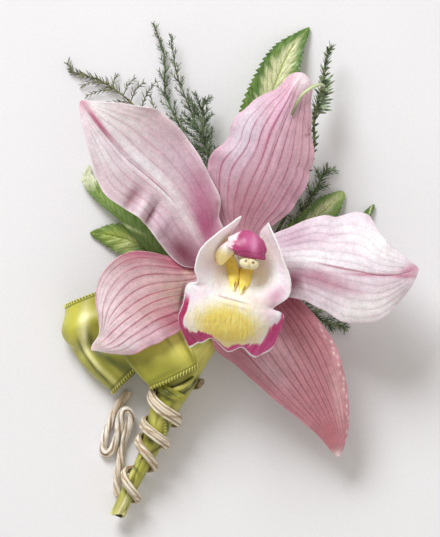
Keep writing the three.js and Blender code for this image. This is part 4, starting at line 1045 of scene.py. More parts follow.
# ---------------- leaves
# Each leaf: its rib and half widths; the colours of its margin and middle and how far the pale middle
# reaches; a darker foot (colour, strength, drift, share along where it ends); soft patches.
LEAVES = {
    "top_leaf": dict(
        rib=[slot(-1, 0.3), [-4.2, -4, 8.8], [-0.6, 10, 7], [3.5, 29.9, 6.2], [6.8, 43, 5.4],
            [10, 52.2, 4.2], [13.3, 59.4, 2.6], [18.3, 65.5, 0.6]],
        left=[0.7, 0.7, 0.7, 3.4, 6, 6.8, 6.4, 4.8, 0.8],
        right=[0.7, 0.7, 0.7, 3.2, 5.6, 6.2, 5.6, 4.4, 0.8], paint=("5c803a", "e4e6b6", 0.5)),
    "left_leaf_upper": dict(
        rib=[slot(-2.8, 0.4), [-10.8, -7.4, 9.9], [-14.4, -2.8, 9.2], [-20.4, 3.2, 8], [-27.5, 9.8, 6],
            [-33.4, 15.4, 4], [-39.2, 21.2, 2], [-41.6, 25, 1.3], [-40.7, 28.4, 0.9]],
        left=[0.7, 0.7, 1.6, 1.6, 1.2, 0.8, 0.6, 1, 1.2, 0.8],
        right=[0.7, 0.7, 3, 5.6, 6.4, 6.4, 5.8, 4.6, 3, 0.8], paint=("708e42", "92aa5c", 0.25),
        foot=("587434", 0.7, 0, 0.8), spots=[(-29.4, 11.6, 3.4, 0.4, -24, "d0d8a0", 0.8)]),
    "left_leaf_lower": dict(
        rib=[slot(-3.6, -1.2), [-13.8, -5.8, 7.2], [-21, 3, 4.6], [-29, 8, 2.8], [-35, 9.8, 1.5],
            [-40.4, 10.4, 0.6]],
        left=[0.7, 0.7, 2, 3.8, 4.6, 4.6, 4.2, 3, 0.7], right=[0.7, 0.7, 2, 4.2, 5, 4.8, 4.2, 3, 0.7],
        lift_left=[0.3, 0.3, 0.3, 0.1], lift_right=[0.3, 0.3, 0.3, 0.1],
        paint=("708a38", "a8b856", 0.55), foot=("48682c", 0.8, 0.05, 0.78),
        spots=[(-30.2, 7.8, 3.2, 1.5, 30, "ced68c", 0.8)]),
    "right_leaf": dict(
        rib=[slot(1.1, 0.3), [1.6, -5.2, 8.4], [9, 4.2, 7.2], [17, 11.8, 5.2], [22.6, 16.8, 3.3],
            [27.6, 21.4, 0.6]],
        left=[0.7, 0.7, 1.2, 2.5, 3.5, 3.6, 3.5, 3.3, 1.1],
        right=[0.7, 0.7, 1.2, 3.4, 4.8, 4.8, 4.4, 3.6, 1.2], paint=("58783c", "c4ce9c", 0.42),
        spots=[(26.6, 20.2, 2.6, 2.6, 36, "a6c468", 0.8), (23.4, 18.2, 5, 0.95, 37, "dee4ae", 0.95)]),
    "small_leaf": dict(
        rib=[slot(3.2, 0.3), [5.8, -7.8, 8.6], [17, 0.6, 6.4], [27, 8, 4], [32.8, 14, 1.8],
            [35.7, 18, 0.6]],
        left=[0.7, 0.7, 0.7, 1.6, 2.6, 2.8, 2.6, 1.8, 0.6],
        right=[0.7, 0.7, 0.7, 1.6, 2.6, 2.8, 2.4, 1.6, 0.6], paint=("5e7c3a", "a0b26e", 0.3),
        spots=[(34.7, 16.6, 1.8, 0.22, 78, "e8f0ce", 0.9)]),
}
EVEN = dict(lift_left=[0.6, 0.8, 1, 0.4], lift_right=[0.6, 0.8, 1, 0.4], round=0.97)


def toothed(t, s, length):
    """Width factor of a serrate margin: fine teeth that lean to the tip."""
    run = t * length
    tooth = np.mod(run / 1.4 + 0.2 * np.sin(run * 0.7), 1.0)
    live = step(t, 0.30, 0.42) * step(1 - t, 0.0, 0.04)
    return 1 + (0.05 - 0.17 * tooth**1.3) * np.abs(s) ** 7 * live


def add_leaf(name, green):
    shape = {**EVEN, **LEAVES[name]}
    p, t, s, width = blade(shape, 440 if name == "top_leaf" else 260, 40, toothed)
    off = np.abs(s)
    length = np.linalg.norm(np.diff(p[:, 20], axis=0), axis=1).sum()
    quilt = np.cos(TAU * (t * length / 3.4 - off * 1.3)) * off * (1 - off) * 4
    wide = step(width, 1.2, 3.0)
    z = 0.13 * quilt - 0.28 * bell(s, 0, 0.07) + 0.35 * noise2(t * 6, s * 2, len(name)) * off**3
    p = p + up_normals(p) * (z * wide)[..., None]
    keep_above(p, LEAF / 2 + 0.05)
    streak = noise2(t * length / 0.8 - off * 6, s * 1.6, 3)
    margin, middle, pale = shape["paint"]
    reach = pale * (1 + 0.4 * streak) * step(t, 0.1, 0.4) * (1 - 0.7 * step(t, 0.84, 1.0))
    inner = 1 - step(off, reach - 0.20, reach + 0.26)
    ground = coats(plain(margin, p), ("96b254", 0.4 * step(noise2(t * 9, s * 3, 8), -0.1, 0.7)),
                   ("2e5424", 0.7 * step(off, 0.5, 1.0) * step(streak, -0.1, 0.5)),
                   (middle, 0.92 * inner * wide), ("96b254", 0.4 * (1 - step(off, 0.03, 0.10)) * wide))
    if "foot" in shape:
        colour, strength, drift, end = shape["foot"]
        ground = coats(ground, (colour, strength * (1 - step(t + drift * streak, 0.62, end))))
    ground = washes(ground, p, shape.get("spots", ()))
    if name == "left_leaf_upper":
        ground = coats(ground, ("eef2d0", 0.95 * step(t + 0.02 * streak, 0.84, 0.93)))
    rear = ground * 0.6 + 0.4 * rgb("b0c484")
    thickness = LEAF * (1 - 0.45 * off**4) * np.where(width < 1.2, 1.0, 0.75)
    leaf = Mesh().sheet(p, thickness, ground, rear, np.stack([t, 0.5 + 0.5 * s], axis=-1))
    leaf.place(name + "_serrate", green, "leaf_green", name, angle=50)


# ---------------- fern and rosemary sprigs
class Sprig(Mesh):
    """A sprig: thin stems and many tapered needles."""

    def stem(self, path, r0, r1, steps, tint):
        line = Line(path)
        share = np.linspace(0, 1, steps)
        r = r0 + (r1 - r0) * share
        self.tube(sweep(line.at(share), r, r, 7), tint)
        return line

    def needles(self, start, direction, length, radius, shade, flat, bend=0.0):
        """Tapered needles: three rings of four points and a tip; bend drops or lifts the tips."""
        n = len(start)
        direction, length = unit(direction), np.broadcast_to(length, (n,))[:, None]
        side = unit(np.cross(direction, (0.02, 0.01, 1.0)))
        up = np.cross(side, direction)
        verts = []
        for f, w in ((0.0, 0.55), (0.35, 1.0), (0.75, 0.72)):
            middle = start + direction * length * f + up * bend * length * f * f
            for cx, cy in ((1, 0), (0, flat), (-1, 0), (0, -flat)):
                verts.append(middle + (side * cx + up * cy) * radius * w)
        verts = np.stack(verts + [start + direction * length + up * bend * length], axis=1)
        keep_above(verts, 0.05)
        faces = [[3, 2, 1, 0]] + ring_faces(3, 4) + [[8 + k, 8 + (k + 1) % 4, 12] for k in range(4)]
        faces = [[v + 13 * i for v in f] for i in range(n) for f in faces]
        along = np.tile(np.repeat([0.0, 0.35, 0.75, 1.0], (4, 4, 4, 1)), n)
        shade = np.repeat(shade, 13)[:, None] * np.ones(3)
        return self.add(verts, faces, np.stack([along, 0.5 + 0 * along], axis=1), shade)

    def dress(self, line, begin, spacing, length, radius, lean, count, seed, level, flat=0.8, taper=0.5,
              pale=0.0):
        """Needles all round a stem from a share of its length to its tip."""
        places = int(line.length * (1 - begin) / spacing)
        k = np.arange(places * count)
        draws = [hashed(k, seed + i) for i in range(6)]
        share = np.minimum(begin + (1 - begin) * ((k // count) + 0.6 * draws[0]) / places, 0.995)
        at, along = line.at(share), line.tangent(share)
        turn = TAU * ((k % count) / count + 0.17 * (k // count) + 0.2 * draws[1])
        side = unit(np.cross(along, (0, 0, 1.0)))
        out = side * np.cos(turn)[:, None] + np.cross(side, along) * (level * np.sin(turn))[:, None]
        angle = lean * (0.8 + 0.4 * draws[2])
        way = along * np.cos(angle)[:, None] + out * np.sin(angle)[:, None]
        size = length * (0.7 + 0.5 * draws[3]) * (1 - taper * (share - begin) / (1 - begin))
        self.needles(at, way, size, radius, 0.4 + 0.85 * draws[4] + 1.2 * (draws[5] < pale), flat)


def side_shoots(path, begin, pairs, reach, lean, bias=0.0):
    """Ends of the alternate side shoots of a sprig; bias makes those on the left the longer ones."""
    line = Line(path)
    for i in range(2 * pairs):
        f, way = i / (2 * pairs - 1), -1 if i % 2 else 1
        share = begin + (0.97 - begin) * f
        start, along = line.at(share), line.tangent(share)
        side = unit(np.array([-along[1], along[0], 0])) * way
        length = smooth(reach, f) * (1 + bias * way)
        end = start + along * length * math.cos(lean) + side * length * math.sin(lean)
        keep_above(end, 0.4)
        yield start, end


def upward(height):
    return np.array([0, 0, height])


FERN_BRANCHES = [[[-31.5, 47.4, 1.5], [-30.2, 50.2, 1.6], [-28.3, 52.1, 1.2]],
    [[-29.6, 45.6, 1.7], [-28.2, 48.8, 2.2], [-26, 51, 1.3]],
    [[-26.9, 42.8, 2.3], [-25.4, 47.4, 3.2], [-22.6, 51.2, 3]],
    [[-34.6, 49.4, 1.2], [-33.9, 51.6, 1.6], [-33, 53.2, 1]],
    [[-33, 48.4, 1.3], [-37.4, 48.6, 1.4], [-41.6, 47.2, 0.8]],
    [[-36.5, 50.8, 1.1], [-40, 50.8, 1.2], [-43, 49.6, 0.8]],
    [[-41, 52.6, 0.9], [-43.6, 53.4, 1], [-46, 53.4, 0.7]],
    [[-28.4, 44.4, 1.9], [-30.6, 45.6, 1.6], [-35.6, 45.2, 1]],
    [[-24.6, 39.6, 3], [-23.4, 43.6, 3.6], [-24.4, 47.6, 3.4]]]
BARK, WOOD = (1.0, 0.86, 0.62), (0.8, 0.8, 0.6)     # how the stems' green is toned
# The three sprigs behind the flower: stem, where the side shoots begin, their pairs, lengths and lean.
FERNS = {
    "fern_sprig_top_outer": (
        [slot(-1.0, -3.5), [-9.4, 4.0, 3.8], [-10.6, 27.0, 2.4], [-16.6, 39.4, 1.8], [-20.2, 48.0, 1.2],
         [-20.6, 58.0, 1.0], [-23.6, 66.8, 0.7]], 0.60, 8, [4.2, 4.4, 3.6, 2.4, 1.6], 0.42),
    "fern_sprig_top_inner": (
        [slot(0.8, -3.4), [-6.2, 4.0, 4.4], [-7.6, 27.0, 3.0], [-13.2, 42.6, 3.6], [-17.0, 52.4, 3.8],
         [-18.9, 63.8, 3.6]], 0.66, 6, [4.0, 4.2, 3.0, 2.0], 0.36),
    "fern_sprig_top_bushy": (
        [slot(0.1, -1.5), [-4.0, -4.0, 6.8], [-3.4, 4.0, 5.6], [-5.8, 25.0, 5.0], [-10.2, 37.0, 5.2],
         [-10.0, 46.4, 5.6]], 0.66, 4, [5.4, 6.0, 4.2], 0.75),
}


# The two low sprigs of rosemary: stem, where the side shoots begin, their lengths and bias.
ROSEMARIES = {
    "rosemary_sprig_middle": (
        [slot(3.6, -1.5), [6.4, 0.6, 5.2], [15.0, 13.6, 2.2], [19.8, 21.8, 1.2], [23.2, 27.8, 0.8]],
        0.62, [3.6, 4.0, 3.0], 0.0),
    "rosemary_sprig_lower": (
        [slot(2.5, -2.9), [5.0, -10.8, 5.2], [13.0, -8.6, 3.4], [18.6, -10.8, 2.2], [23.4, -13.8, 1.2],
         [28.2, -14.8, 0.8]], 0.6, [3.0, 3.0, 2.4], 0.3),
}


def add_ferns(fern, olive):
    m = Sprig()
    stem = m.stem([slot(-1.4, -1.6), [-12.6, 2.0, 6.4], [-19.6, 25.0, 5.0], [-26.6, 42.0, 2.4],
                   [-32.1, 47.7, 1.5], [-38.7, 51.8, 1.0], [-44.8, 53.6, 0.8], [-46.6, 56.2, 0.7]],
                  0.5, 0.16, 90, BARK)
    m.dress(stem, 0.79, 0.8, 2.4, 0.12, 0.75, 3, 3, 0.5, taper=0.2)
    m.dress(stem, 0.60, 2.6, 1.4, 0.10, 0.7, 3, 31, 0.5)
    for k, way in enumerate(FERN_BRANCHES):
        m.dress(m.stem(way, 0.16, 0.08, 14, BARK), 0.15, 1.1, 1.9, 0.11, 0.7, 3, 40 + k, 0.5, taper=0.2)
    m.place("fern_left_fine", olive, "fern_green", "fern_sprig_left")
    for name, (path, begin, pairs, reach, lean) in FERNS.items():
        m, thick = Sprig(), name.endswith("bushy")
        stem = m.stem(path, 0.5, 0.12, 90, WOOD)
        spacing, each, close, bias = (0.62, 4, 0.6, 0.25) if thick else (0.95, 3, 1.0, 0.0)
        m.dress(stem, begin - 0.16, spacing, 2.5, 0.10, 0.5, each, 5 + len(name), 0.8)
        for k, (a, b) in enumerate(side_shoots(path, begin, pairs, reach, lean, bias)):
            twig = m.stem([a, (a + b) / 2 + upward(0.3), b], 0.13, 0.06, 8, WOOD)
            m.dress(twig, 0.1, close, 2.1, 0.095, 0.55, each, 60 + k, 0.8, taper=0.35)
        more = side_shoots(path, 0.56, 8, [4.6, 6.6, 6.4, 5.6, 3.6], 0.5, 0.35) if thick else ()
        for k, (a, b) in enumerate(more):
            lift = upward(1.6 * math.sin(k))
            twig = m.stem([a, (a + b) / 2 + lift, b + lift], 0.14, 0.08, 8, WOOD)
            m.dress(twig, 0.05, 0.62, 2.3, 0.10, 0.6, 4, 90 + k, 0.8, taper=0.3)
        m.place(name + "_fine", fern, "fern_green", name)


def add_rosemary(needle, needle_skin):
    m = Sprig()
    stem = m.stem([slot(1.8, -1.5), [4.0, 1.0, 6.2], [13.4, 18.0, 5.6], [19.4, 33.0, 6.4],
                   [19.6, 40.5, 7.4], [21.8, 50.4, 8.2], [23.0, 57.3, 8.0], [24.2, 60.4, 7.6]],
                  0.55, 0.3, 90, (0.8, 0.75, 0.55))
    m.dress(stem, 0.74, 0.95, 3.1, 0.12, 0.62, 5, 7, 0.9, 0.6, taper=0.35)
    m.dress(stem, 0.52, 1.7, 2.0, 0.30, 0.95, 3, 17, 0.8, 0.5, taper=0.0)
    k = np.arange(12)
    aim = -0.15 + 0.08 * k
    way = np.stack([np.cos(aim), np.sin(aim), 0.12 + 0 * k], axis=1)
    length, shade = 3.0 + 1.5 * np.abs(np.sin(k * 1.9)), 0.8 + 0.5 * (k % 3)
    m.needles(stem.at(0.775 + 0.0085 * k), way, length, 0.40, shade, 0.45, -0.12)
    m.place("rosemary_top_needles", needle, "needle_green", "rosemary_sprig_top")
    curl = Line([[21.4, 48.8, 8.2], [21.9, 49.5, 12.0], [21.9, 49.9, 15.8], [20.9, 50.0, 18.7],
                 [18.8, 49.2, 20.4], [16.0, 46.9, 21.0], [13.5, 41.9, 21.1]])
    share = np.linspace(0, 1, 60)
    r = 0.56 * (1 - 0.35 * share**3)
    rings = sweep(curl.at(share), r, r * 0.7, 14, 0.0, lambda a, s: 1 - 0.25 * bell(a, np.pi / 2, 0.4))
    # the underside is painted darker, as shade
    underside_shade = step(curl.at(share)[:, None, 2] - rings[..., 2], -0.18, 0.12)
    tint = coats(plain("c4d0a0", rings), ("5c643a", 0.9 * step(share[:, None], 0.62, 1.0)),
                 ("42562c", 0.8 * underside_shade))
    Mesh().tube(rings, tint).place("rosemary_curled_needle", needle_skin, "needle_green")
    for name, (path, begin, reach, bias) in ROSEMARIES.items():
        m = Sprig()
        stem = m.stem(path, 0.5, 0.2, 70, WOOD)
        m.dress(stem, 0.5, 0.75, 3.2, 0.11, 0.75, 5, 11, 0.7, 0.6, 0.3, 0.35)
        for k, (a, b) in enumerate(side_shoots(path, begin, 4, reach, 0.75, bias)):
            twig = m.stem([a, (a + b) / 2 + upward(0.5), b], 0.2, 0.12, 8, WOOD)
            m.dress(twig, 0.1, 0.95, 2.6, 0.11, 0.7, 4, 130 + k, 0.8, 0.6, 0.3, 0.35)
        m.place(name + "_needles", needle, "needle_green", name)


# ---------------- satin ribbon
FLAT = 0.4                  # height of the ribbon's middle where it lies on the board
# The nets have a row of points along each edge of the ribbon and one along its middle.
LOOP_NET = [
    [[-24, -1.8, FLAT], [-30, -3.4, FLAT], [-36, -5.2, FLAT], [-42, -7, FLAT + 0.1],
     [-46.2, -8.4, 1.7], [-47, -8.8, 4.2], [-44.4, -7.6, 7.2], [-38.9, -5.4, 8.6], [-31.6, -3.2, 9.4],
     [-23.6, -2.2, 9.8]],
    [[-22, -9.4, FLAT], [-28.6, -12.8, FLAT], [-35, -16.2, FLAT], [-41.4, -19.2, FLAT + 0.1],
     [-44.7, -20.7, 1.7], [-45.3, -20.8, 4.3], [-42.8, -18.6, 7.6], [-37.2, -15.2, 7.8],
     [-29.6, -12.4, 9.2], [-20.4, -12.6, 9.9]],
    [[-20, -19, FLAT], [-23.6, -22.6, FLAT], [-27.4, -26.2, FLAT], [-31.2, -29.8, FLAT + 0.1],
     [-33.5, -32, 1.6], [-33.9, -32.3, 3.4], [-32.4, -30.8, 5.6], [-28.6, -26.8, 7], [-24.6, -24, 8],
     [-18.9, -22.1, 9]],
]
# Soft patches on the loop (see washes): tones of the satin, painted highlights along its ridge, painted
# shade in its valley and the painted shadow of the sepal's tip.
LOOP_TONES_LIGHT_AND_SHADE = [(-43.6, -10.6, 6, 2.6, 20, "d8d458", 0.9), (-44.8, -15.5, 9, 1.7, 82, "d6d250", 0.85),
    (-36, -10, 4, 4, 0, "c8c44e", 0.6), (-42, -12.4, 5, 1.3, 80, "faf6b0", 0.85),
    (-41.9, -17, 4.2, 0.8, 88, "fdfabe", 0.95), (-41, -21.4, 2.8, 0.7, -66, "fcf8b8", 0.95),
    (-38.4, -25, 3.4, 0.65, -53, "faf6b0", 0.95), (-34.4, -28.8, 4, 0.7, -45, "f0ec96", 0.9),
    (-40.2, -18.2, 3, 0.8, -72, "585a1a", 0.85), (-38.3, -21.4, 2.6, 1, -50, "363c12", 0.95),
    (-35, -23.8, 3.6, 1.5, -34, "3e4816", 0.95), (-31.2, -25.6, 3.6, 1.8, -28, "526020", 0.9),
    (-32.4, -27.4, 5, 0.7, -42, "c4c054", 0.7), (-42.6, -20.4, 2.8, 0.36, -66, "686a1e", 0.85),
    (-40.2, -24.2, 3.2, 0.36, -56, "54561a", 0.9), (-36.8, -28, 3.6, 0.4, -47, "54561a", 0.9)]
BAND_NET = [
    [[-27.8, -8.6, 12.6], [-30, -9.8, 12.4], [-31, -10.4, 13.2], [-29.8, -9.6, 14.3],
     [-26, -6.6, 15.2], [-22.4, -4, 15.4], [-20.4, -2.6, 14.6]],
    [[-28, -20.4, 11.2], [-30.2, -21.4, 11], [-31.2, -21.9, 11.9], [-30, -21, 13.2],
     [-24.2, -17.6, 14.9], [-18.4, -14.8, 15.4], [-15.6, -14.2, 15.1]],
    [[-21.9, -30.5, 12], [-22.9, -30.9, 11.7], [-23.7, -31.2, 12.6], [-22.7, -30.8, 13.7],
     [-19.2, -29.4, 15], [-15, -27.3, 15.5], [-11.6, -25.4, 14.7]],
]
# Soft patches on the band (see washes): tones of the satin, a painted highlight along its folded right
# edge with painted shade beyond it, and more painted shade.
BAND_TONES_LIGHT_AND_SHADE = [(-26.8, -20.6, 7, 2.2, -62, "c4c254", 0.85), (-29.6, -23.4, 6, 0.8, -52, "767a24", 0.7),
    (-21.4, -20.4, 5, 3.2, -30, "cec858", 0.85), (-23.4, -25.8, 6, 2.4, -30, "929230", 0.85),
    (-18, -26.2, 5, 2, -20, "969432", 0.8), (-17.4, -17, 5, 2.6, -58, "fff684", 0.95),
    (-19.8, -14.6, 4, 1.8, -50, "d6ce5a", 0.85), (-15.6, -21.4, 4, 1.4, -62, "d6ce5c", 0.8),
    (-20, -17.6, 4, 0.5, -56, "969232", 0.7), (-13.3, -20.2, 9, 0.45, -62, "faf696", 0.95),
    (-14.4, -20.6, 8, 0.55, -62, "808028", 0.7), (-22.4, -28.6, 7, 0.7, 28, "707222", 0.6)]
# Soft patches on the knot (see washes): the painted shade of its dark tuck, a painted highlight on the
# rim beside it, and tones of the satin.
KNOT_TONES_LIGHT_AND_SHADE = [(-14.9, -31.4, 2, 0.45, 34, "1a1c0c", 0.98), (-14.2, -29.4, 2.4, 0.7, 52, "deda74", 0.9),
    (-15.6, -30.2, 1.8, 0.5, 42, "c4c054", 0.8), (-19.4, -32.4, 2.4, 1.3, -8, "363e16", 0.9),
    (-16.8, -33.2, 2.2, 0.5, 12, "bebe54", 0.8)]
# The roll across the knot: counts along STEM and degrees round it.
KNOT_ROLL = [[4.42, 102], [4.60, 93], [4.73, 84], [4.85, 75], [4.99, 66], [5.17, 57], [5.36, 50]]


def stitches(m, edge, inward, normal, tint, pitch=0.86, reach=0.85, thread=0.12):
    """Small slanted stitches over a selvedge: edge points, and the ways in and out of the cloth."""
    run = np.concatenate([[0], np.cumsum(np.linalg.norm(np.diff(edge, axis=0), axis=1))])
    places = np.arange(pitch / 2, run[-1], pitch)

    def pick(a):
        return np.stack([np.interp(places, run, a[:, k]) for k in range(3)], axis=1)

    half, slant = RIBBON / 2 + 0.10, 0.42
    # Round the edge from one face to the other: inwards, share of the slant along it, and outwards.
    route = ((reach, 1, half - 0.16), (reach * 0.9, 0.9, half + 0.06), (reach * 0.45, 0.4, half + 0.08),
             (-0.10, 0, half * 0.7), (-0.16, -0.1, 0), (-0.10, 0, -half * 0.7),
             (reach * 0.45, -0.4, -half - 0.08), (reach * 0.9, -0.9, 0.12 - half))
    ways = (unit(pick(way)) for way in (inward, np.gradient(edge, axis=0), normal))
    for e, i, f, n in zip(pick(edge), *ways):
        path = np.array([e + i * a + f * slant * b + n * c for a, b, c in route])
        keep_above(path, thread + 0.02)
        m.tube(sweep(path, thread, thread * 0.9, 6), rgb(tint))


def satin_tint(p, spots, seed):
    drift = noise2(p[..., 0] / 6, p[..., 1] / 6, seed)
    return coats(washes(plain("b0ae3c", p), p, spots), ("848828", 0.25 * step(drift, 0.0, 0.8)))


def ribbon_piece(name, p, spots, seed, satin, thread, node, begin=0.0):
    """A folded length of ribbon, with a groove beside each selvedge and the selvedges' stitches."""
    n = normals(p)
    u, v = grid(p.shape[0] - 1, p.shape[1] - 1)
    groove = bell(u, 0.062, 0.012) + bell(1 - u, 0.062, 0.012)
    p = p - n * 0.06 * groove[..., None]
    # the grooves are painted dark, as the shade in them
    tint = coats(satin_tint(p, spots, seed), ("686822", 0.8 * step(np.abs(2 * u - 1), 0.92, 0.95)),
                 ("4a4c18", 0.8 * np.clip(groove, 0, 1)))
    cloth = Mesh().sheet(p, RIBBON, tint, tint * 0.92, np.stack([v, u], axis=-1))
    cloth = cloth.place(name, satin, "satin_ribbon", node)
    seam, first = Mesh(), int(begin * (p.shape[1] - 1))
    for row, inside in ((0, 3), (-1, -4)):
        edge = p[row, first:]
        stitches(seam, edge, p[inside, first:] - edge, n[row, first:], "dedc70")
    seam = seam.place(name + "_stitches", thread, "satin_ribbon")
    area = np.linalg.norm(np.cross(p[1:, :-1] - p[:-1, :-1], p[:-1, 1:] - p[:-1, :-1]), axis=-1).sum()


def add_loop(satin, thread):
    p, u, v = net(LOOP_NET, 60, 150)
    n = normals(p)
    outer = step(v, 0.42, 0.55)
    ridge = 1.1 * bell(u - 0.28 * (v - 0.7), 0.36, 0.10) * outer * (1 - step(v, 0.86, 1.0))
    valley = 1.3 * bell(u - 0.45 * (v - 0.7), 0.60, 0.08) * outer * (1 - step(v, 0.9, 1.0))
    z = ridge - valley + 0.25 * noise2(u * 3, v * 7, 6) * step(v, 0.3, 0.5)
    p = p + n * (np.sign(n[:, 110:130, 2].mean()) * z)[..., None]
    keep_above(p, RIBBON / 2 + 0.03)
    ribbon_piece("ribbon_loop_folded", p, LOOP_TONES_LIGHT_AND_SHADE, 4, satin, thread, "ribbon_loop")


def add_band(satin, thread):
    p, u, v = net(BAND_NET, 60, 110)
    z = 0.22 * noise2(u * 3 + 1, v * 6, 9) * step(v, 0.3, 0.5)
    z = z - 0.5 * bell(u - 0.2 * v, 0.45, 0.12) * step(v, 0.35, 0.6)
    p = p + up_normals(p) * z[..., None]
    ribbon_piece("ribbon_band_folded", p, BAND_TONES_LIGHT_AND_SHADE, 8, satin, thread, "ribbon_band",
                 0.12)


def add_knot(satin):
    """The knot: a pad of ribbon and a roll across it."""
    p, u, v = net([[on_stem(r, a, 0.7) for a in (40, 72, 104, 134)] for r in (4.3, 4.48, 4.66)], 26, 60)
    z = 0.35 * np.sin(np.pi * u) * np.sin(np.pi * np.clip(v * 1.1, 0, 1))
    z = z - 0.45 * bell(u - 0.5 * v, 0.25, 0.08) * step(v, 0.2, 0.4)
    p = p + up_normals(p) * z[..., None]
    tint = satin_tint(p, KNOT_TONES_LIGHT_AND_SHADE, 3)
    knot = Mesh().sheet(p, 0.5, tint, tint * 0.9, np.stack([v, u], axis=-1))
    share = np.linspace(0, 1, 60)
    count, turn = smooth(KNOT_ROLL, share).T
    size = np.sin(np.pi * (0.03 + 0.94 * share)) ** 0.5
    rings = sweep(on_stem(count, turn, 0.12), 0.92 * size, 0.72 * size, 24, 0.5,
                  lambda a, s: 1 + 0.08 * np.cos(3 * a + 6 * s))
    point, *_, radius = stem_at(count)
    high = np.linalg.norm(rings - point[:, None], axis=-1) - radius[:, None]
    # the roll is painted dark low down, as shade against the winding, and light on top, as a painted
    # highlight
    knot.tube(rings, coats(plain("3c4016", rings), ("ceca5c", step(high, 0.1, 0.8))))
    knot.place("ribbon_knot_fold", satin, "satin_ribbon", "ribbon_knot")


# Soft patches on the winding (see washes): painted highlights on its laps and folds, and tones of the
# satin.
WINDING_TONES_AND_HIGHLIGHTS = [(-13.4, -30.1, 2.4, 0.55, 63, "e4e07c", 0.9),
    (-9.4, -22.4, 4.4, 2.2, 62, "ded86e", 0.9), (-17, -36, 3, 0.8, 62, "cecc64", 0.7),
    (-24.8, -40, 3.6, 1, -78, "929834", 0.7), (-25.6, -43.2, 1.5, 0.8, -60, "d8d468", 0.9),
    (-22.6, -45.4, 2.2, 0.5, 58, "d0ce68", 0.8), (-31.4, -62, 3.4, 0.8, 62, "f2eeb4", 0.9),
    (-29.6, -54.6, 4, 0.5, 62, "e4e08c", 0.8)]
# Painted shade in the openings between the laps and under the twine's turns: as a patch, but with no
# colour.
WINDING_SHADOWS = [(-19.3, -32.6, 2.8, 1.3, -8, 0.9), (-17.6, -33.2, 2.4, 0.45, 22, 1),
    (-14.4, -31.6, 2.2, 0.42, 38, 1), (-12.5, -29.4, 1.6, 0.36, 62, 1),
    (-17.2, -30.2, 2.4, 0.4, 26, 0.8), (-20.3, -38.4, 2.4, 0.26, -70, 0.9),
    (-19.5, -42, 2.4, 0.26, -88, 0.9), (-24.4, -45, 1.8, 1.1, -40, 0.85),
    (-28.3, -52.6, 2.4, 0.5, -55, 0.7), (-31.2, -58.4, 2, 0.5, -55, 0.7)]


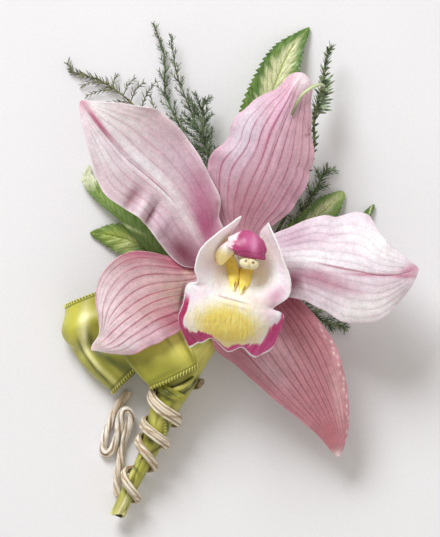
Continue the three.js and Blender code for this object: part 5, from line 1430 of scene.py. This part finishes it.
def add_winding(satin, thread):
    """Ribbon wound on the stems: slanting laps, long creases near the end and an open cut end."""
    nu, sides = 230, 96
    count = np.linspace(0, WRAP_TOP, nu)
    point, along, side, up, r = stem_at(count)
    ang, count, r = circle(sides), count[:, None], r[:, None]
    ca, sa = np.cos(ang), np.sin(ang)
    d = np.interp(count / LAST, STEM_LINE.raw_t, STEM_LINE.run)
    slope = d / 30 + 0.016 * np.maximum(d - 18, 0)
    lap = np.mod(ang / TAU + slope + 0.12, 1.0)
    fold = noise2(1.7 * ca + 9, 1.7 * sa + d / 11, 12)
    lower = step(20 - d, -8, 4) * 0.7 + 0.3
    dip, crest, end = bell(fold, 0, 0.07) * lower, bell(fold, 0.26, 0.12) * lower, np.exp(-d / 1.3)
    crease = 0.05 * np.sin(3 * ang + d / 7) + 0.06 * noise2(4 * ca, 4 * sa + d / 5, 3)
    crease = crease - 0.16 * dip + 0.06 * crest + 0.20 * end * np.sin(9 * ang + 2 * np.sin(2 * ang))
    k = r - 0.38 + 0.36 * lap * step(1 - lap, 0.0, 0.035) + crease * (1 + 0.6 * (r - 2))
    k = k * (1 - 0.05 * np.exp(-d / 0.8))
    cut = 1.2 * np.clip(np.sin(ang + 0.7), 0, 1) * bell(d, 0, 3.4)
    slant = along[:, None] * cut[..., None]
    outer, inner = (rings_about(point, side, up, radius * ca, radius * sa) + slant
                    for radius in (k, k - RIBBON))
    shadows = [(*spot, "ffffff", strength) for *spot, strength in WINDING_SHADOWS]
    over = washes(plain("000000", outer), outer, shadows)[..., 0]
    hem = bell(WRAP_TOP - count, 0.05, 0.07) * step(np.sin(38 * ang), -0.4, 0.4)
    # painted highlights on the crests and along the middle of the laps near the end, a random darker
    # tone, and painted shade in the creases and at the step of each lap
    tint = coats(plain("b6b448", outer), ("d4d06e", 0.7 * crest),
                 ("e2de82", 0.5 * bell(lap, 0.55, 0.10) * step(d, 0, 14)),
                 ("80842c", 0.6 * step(noise2(3 * ca, 3 * sa + d / 4, 8), 0, 0.7)),
                 ("4e541c", 0.8 * dip),
                 ("585a1e", 0.85 * np.clip(bell(lap, 0.985, 0.03) + bell(lap, 0.01, 0.02), 0, 1)))
    # the painted shadows go on the upper side only
    tint = coats(washes(tint, outer, WINDING_TONES_AND_HIGHLIGHTS), ("343a14", over * step(sa, -0.2, 0.2)),
                 ("eeeaa8", 0.8 * end), ("24280e", 0.9 * hem))
    uu, vv = np.concatenate([d, d[::-1]]) / 60, np.concatenate([slope, slope[::-1]]) / 2
    uv = np.stack(np.broadcast_arrays(uu, np.abs(ang / np.pi - 1) + vv), axis=-1)
    # the inside of the tube is painted dark, as the shade inside the open end
    winding = Mesh().add(np.concatenate([outer, inner[::-1]]), ring_faces(2 * nu, sides, True), uv,
                         np.concatenate([tint, tint[::-1] * 0.2]))
    winding.place("ribbon_stem_winding", satin, "satin_ribbon", "ribbon_stem_wrap")
    seam = Mesh()
    rim, deep = (np.concatenate([outer[row], outer[row][:1]]) for row in (-1, -7))
    # the thread along the rim is painted darker, as the shade along it
    stitches(seam, rim, deep - rim, rim - point[-1], "b2b24e", 0.95, 0.8, 0.13)
    lane = np.linspace(0, 1, 30)
    crossing, inside = (on_stem(3.52 - 0.72 * lane, a - 52 * lane, 0.10) for a in (74, 86))
    middle = stem_at(3.52 - 0.72 * lane)[0]
    stitches(seam, crossing, inside - crossing, unit(crossing - middle), "cecc68", 0.85, 0.75, 0.13)
    seam.place("winding_selvedge_stitches", thread, "satin_ribbon")


# ---------------- build it
add_camera()
add_studio()
paper = paper_material()
add_cord(paper)
add_twine_wrap(paper)
for name, shape in TEPALS.items():
    add_tepal(name, tepal_material(*shape["skin"]))
add_keels(add_lip(), waxy_material("callus_gold", 0.42, 0.5, 3.0, 0.5, 0.1))
add_column()
add_cap()
add_stems()
green = leaf_material()
for name in LEAVES:
    add_leaf(name, green)
add_ferns(foliage_material("fern_fine", "3a5036", "8a9e7c", "8c8060"),
          foliage_material("fern_olive", "4c503a", "8a9070", "968e72"))
add_rosemary(foliage_material("needle_fine", "3a4e34", "889a76", "969270", 0.5),
             waxy_material("needle_skin", 0.45, 0.45, 1.2, 0.3))
satin, thread = satin_material(), stitch_material()
add_winding(satin, thread)
add_loop(satin, thread)
add_band(satin, thread)
add_knot(satin)
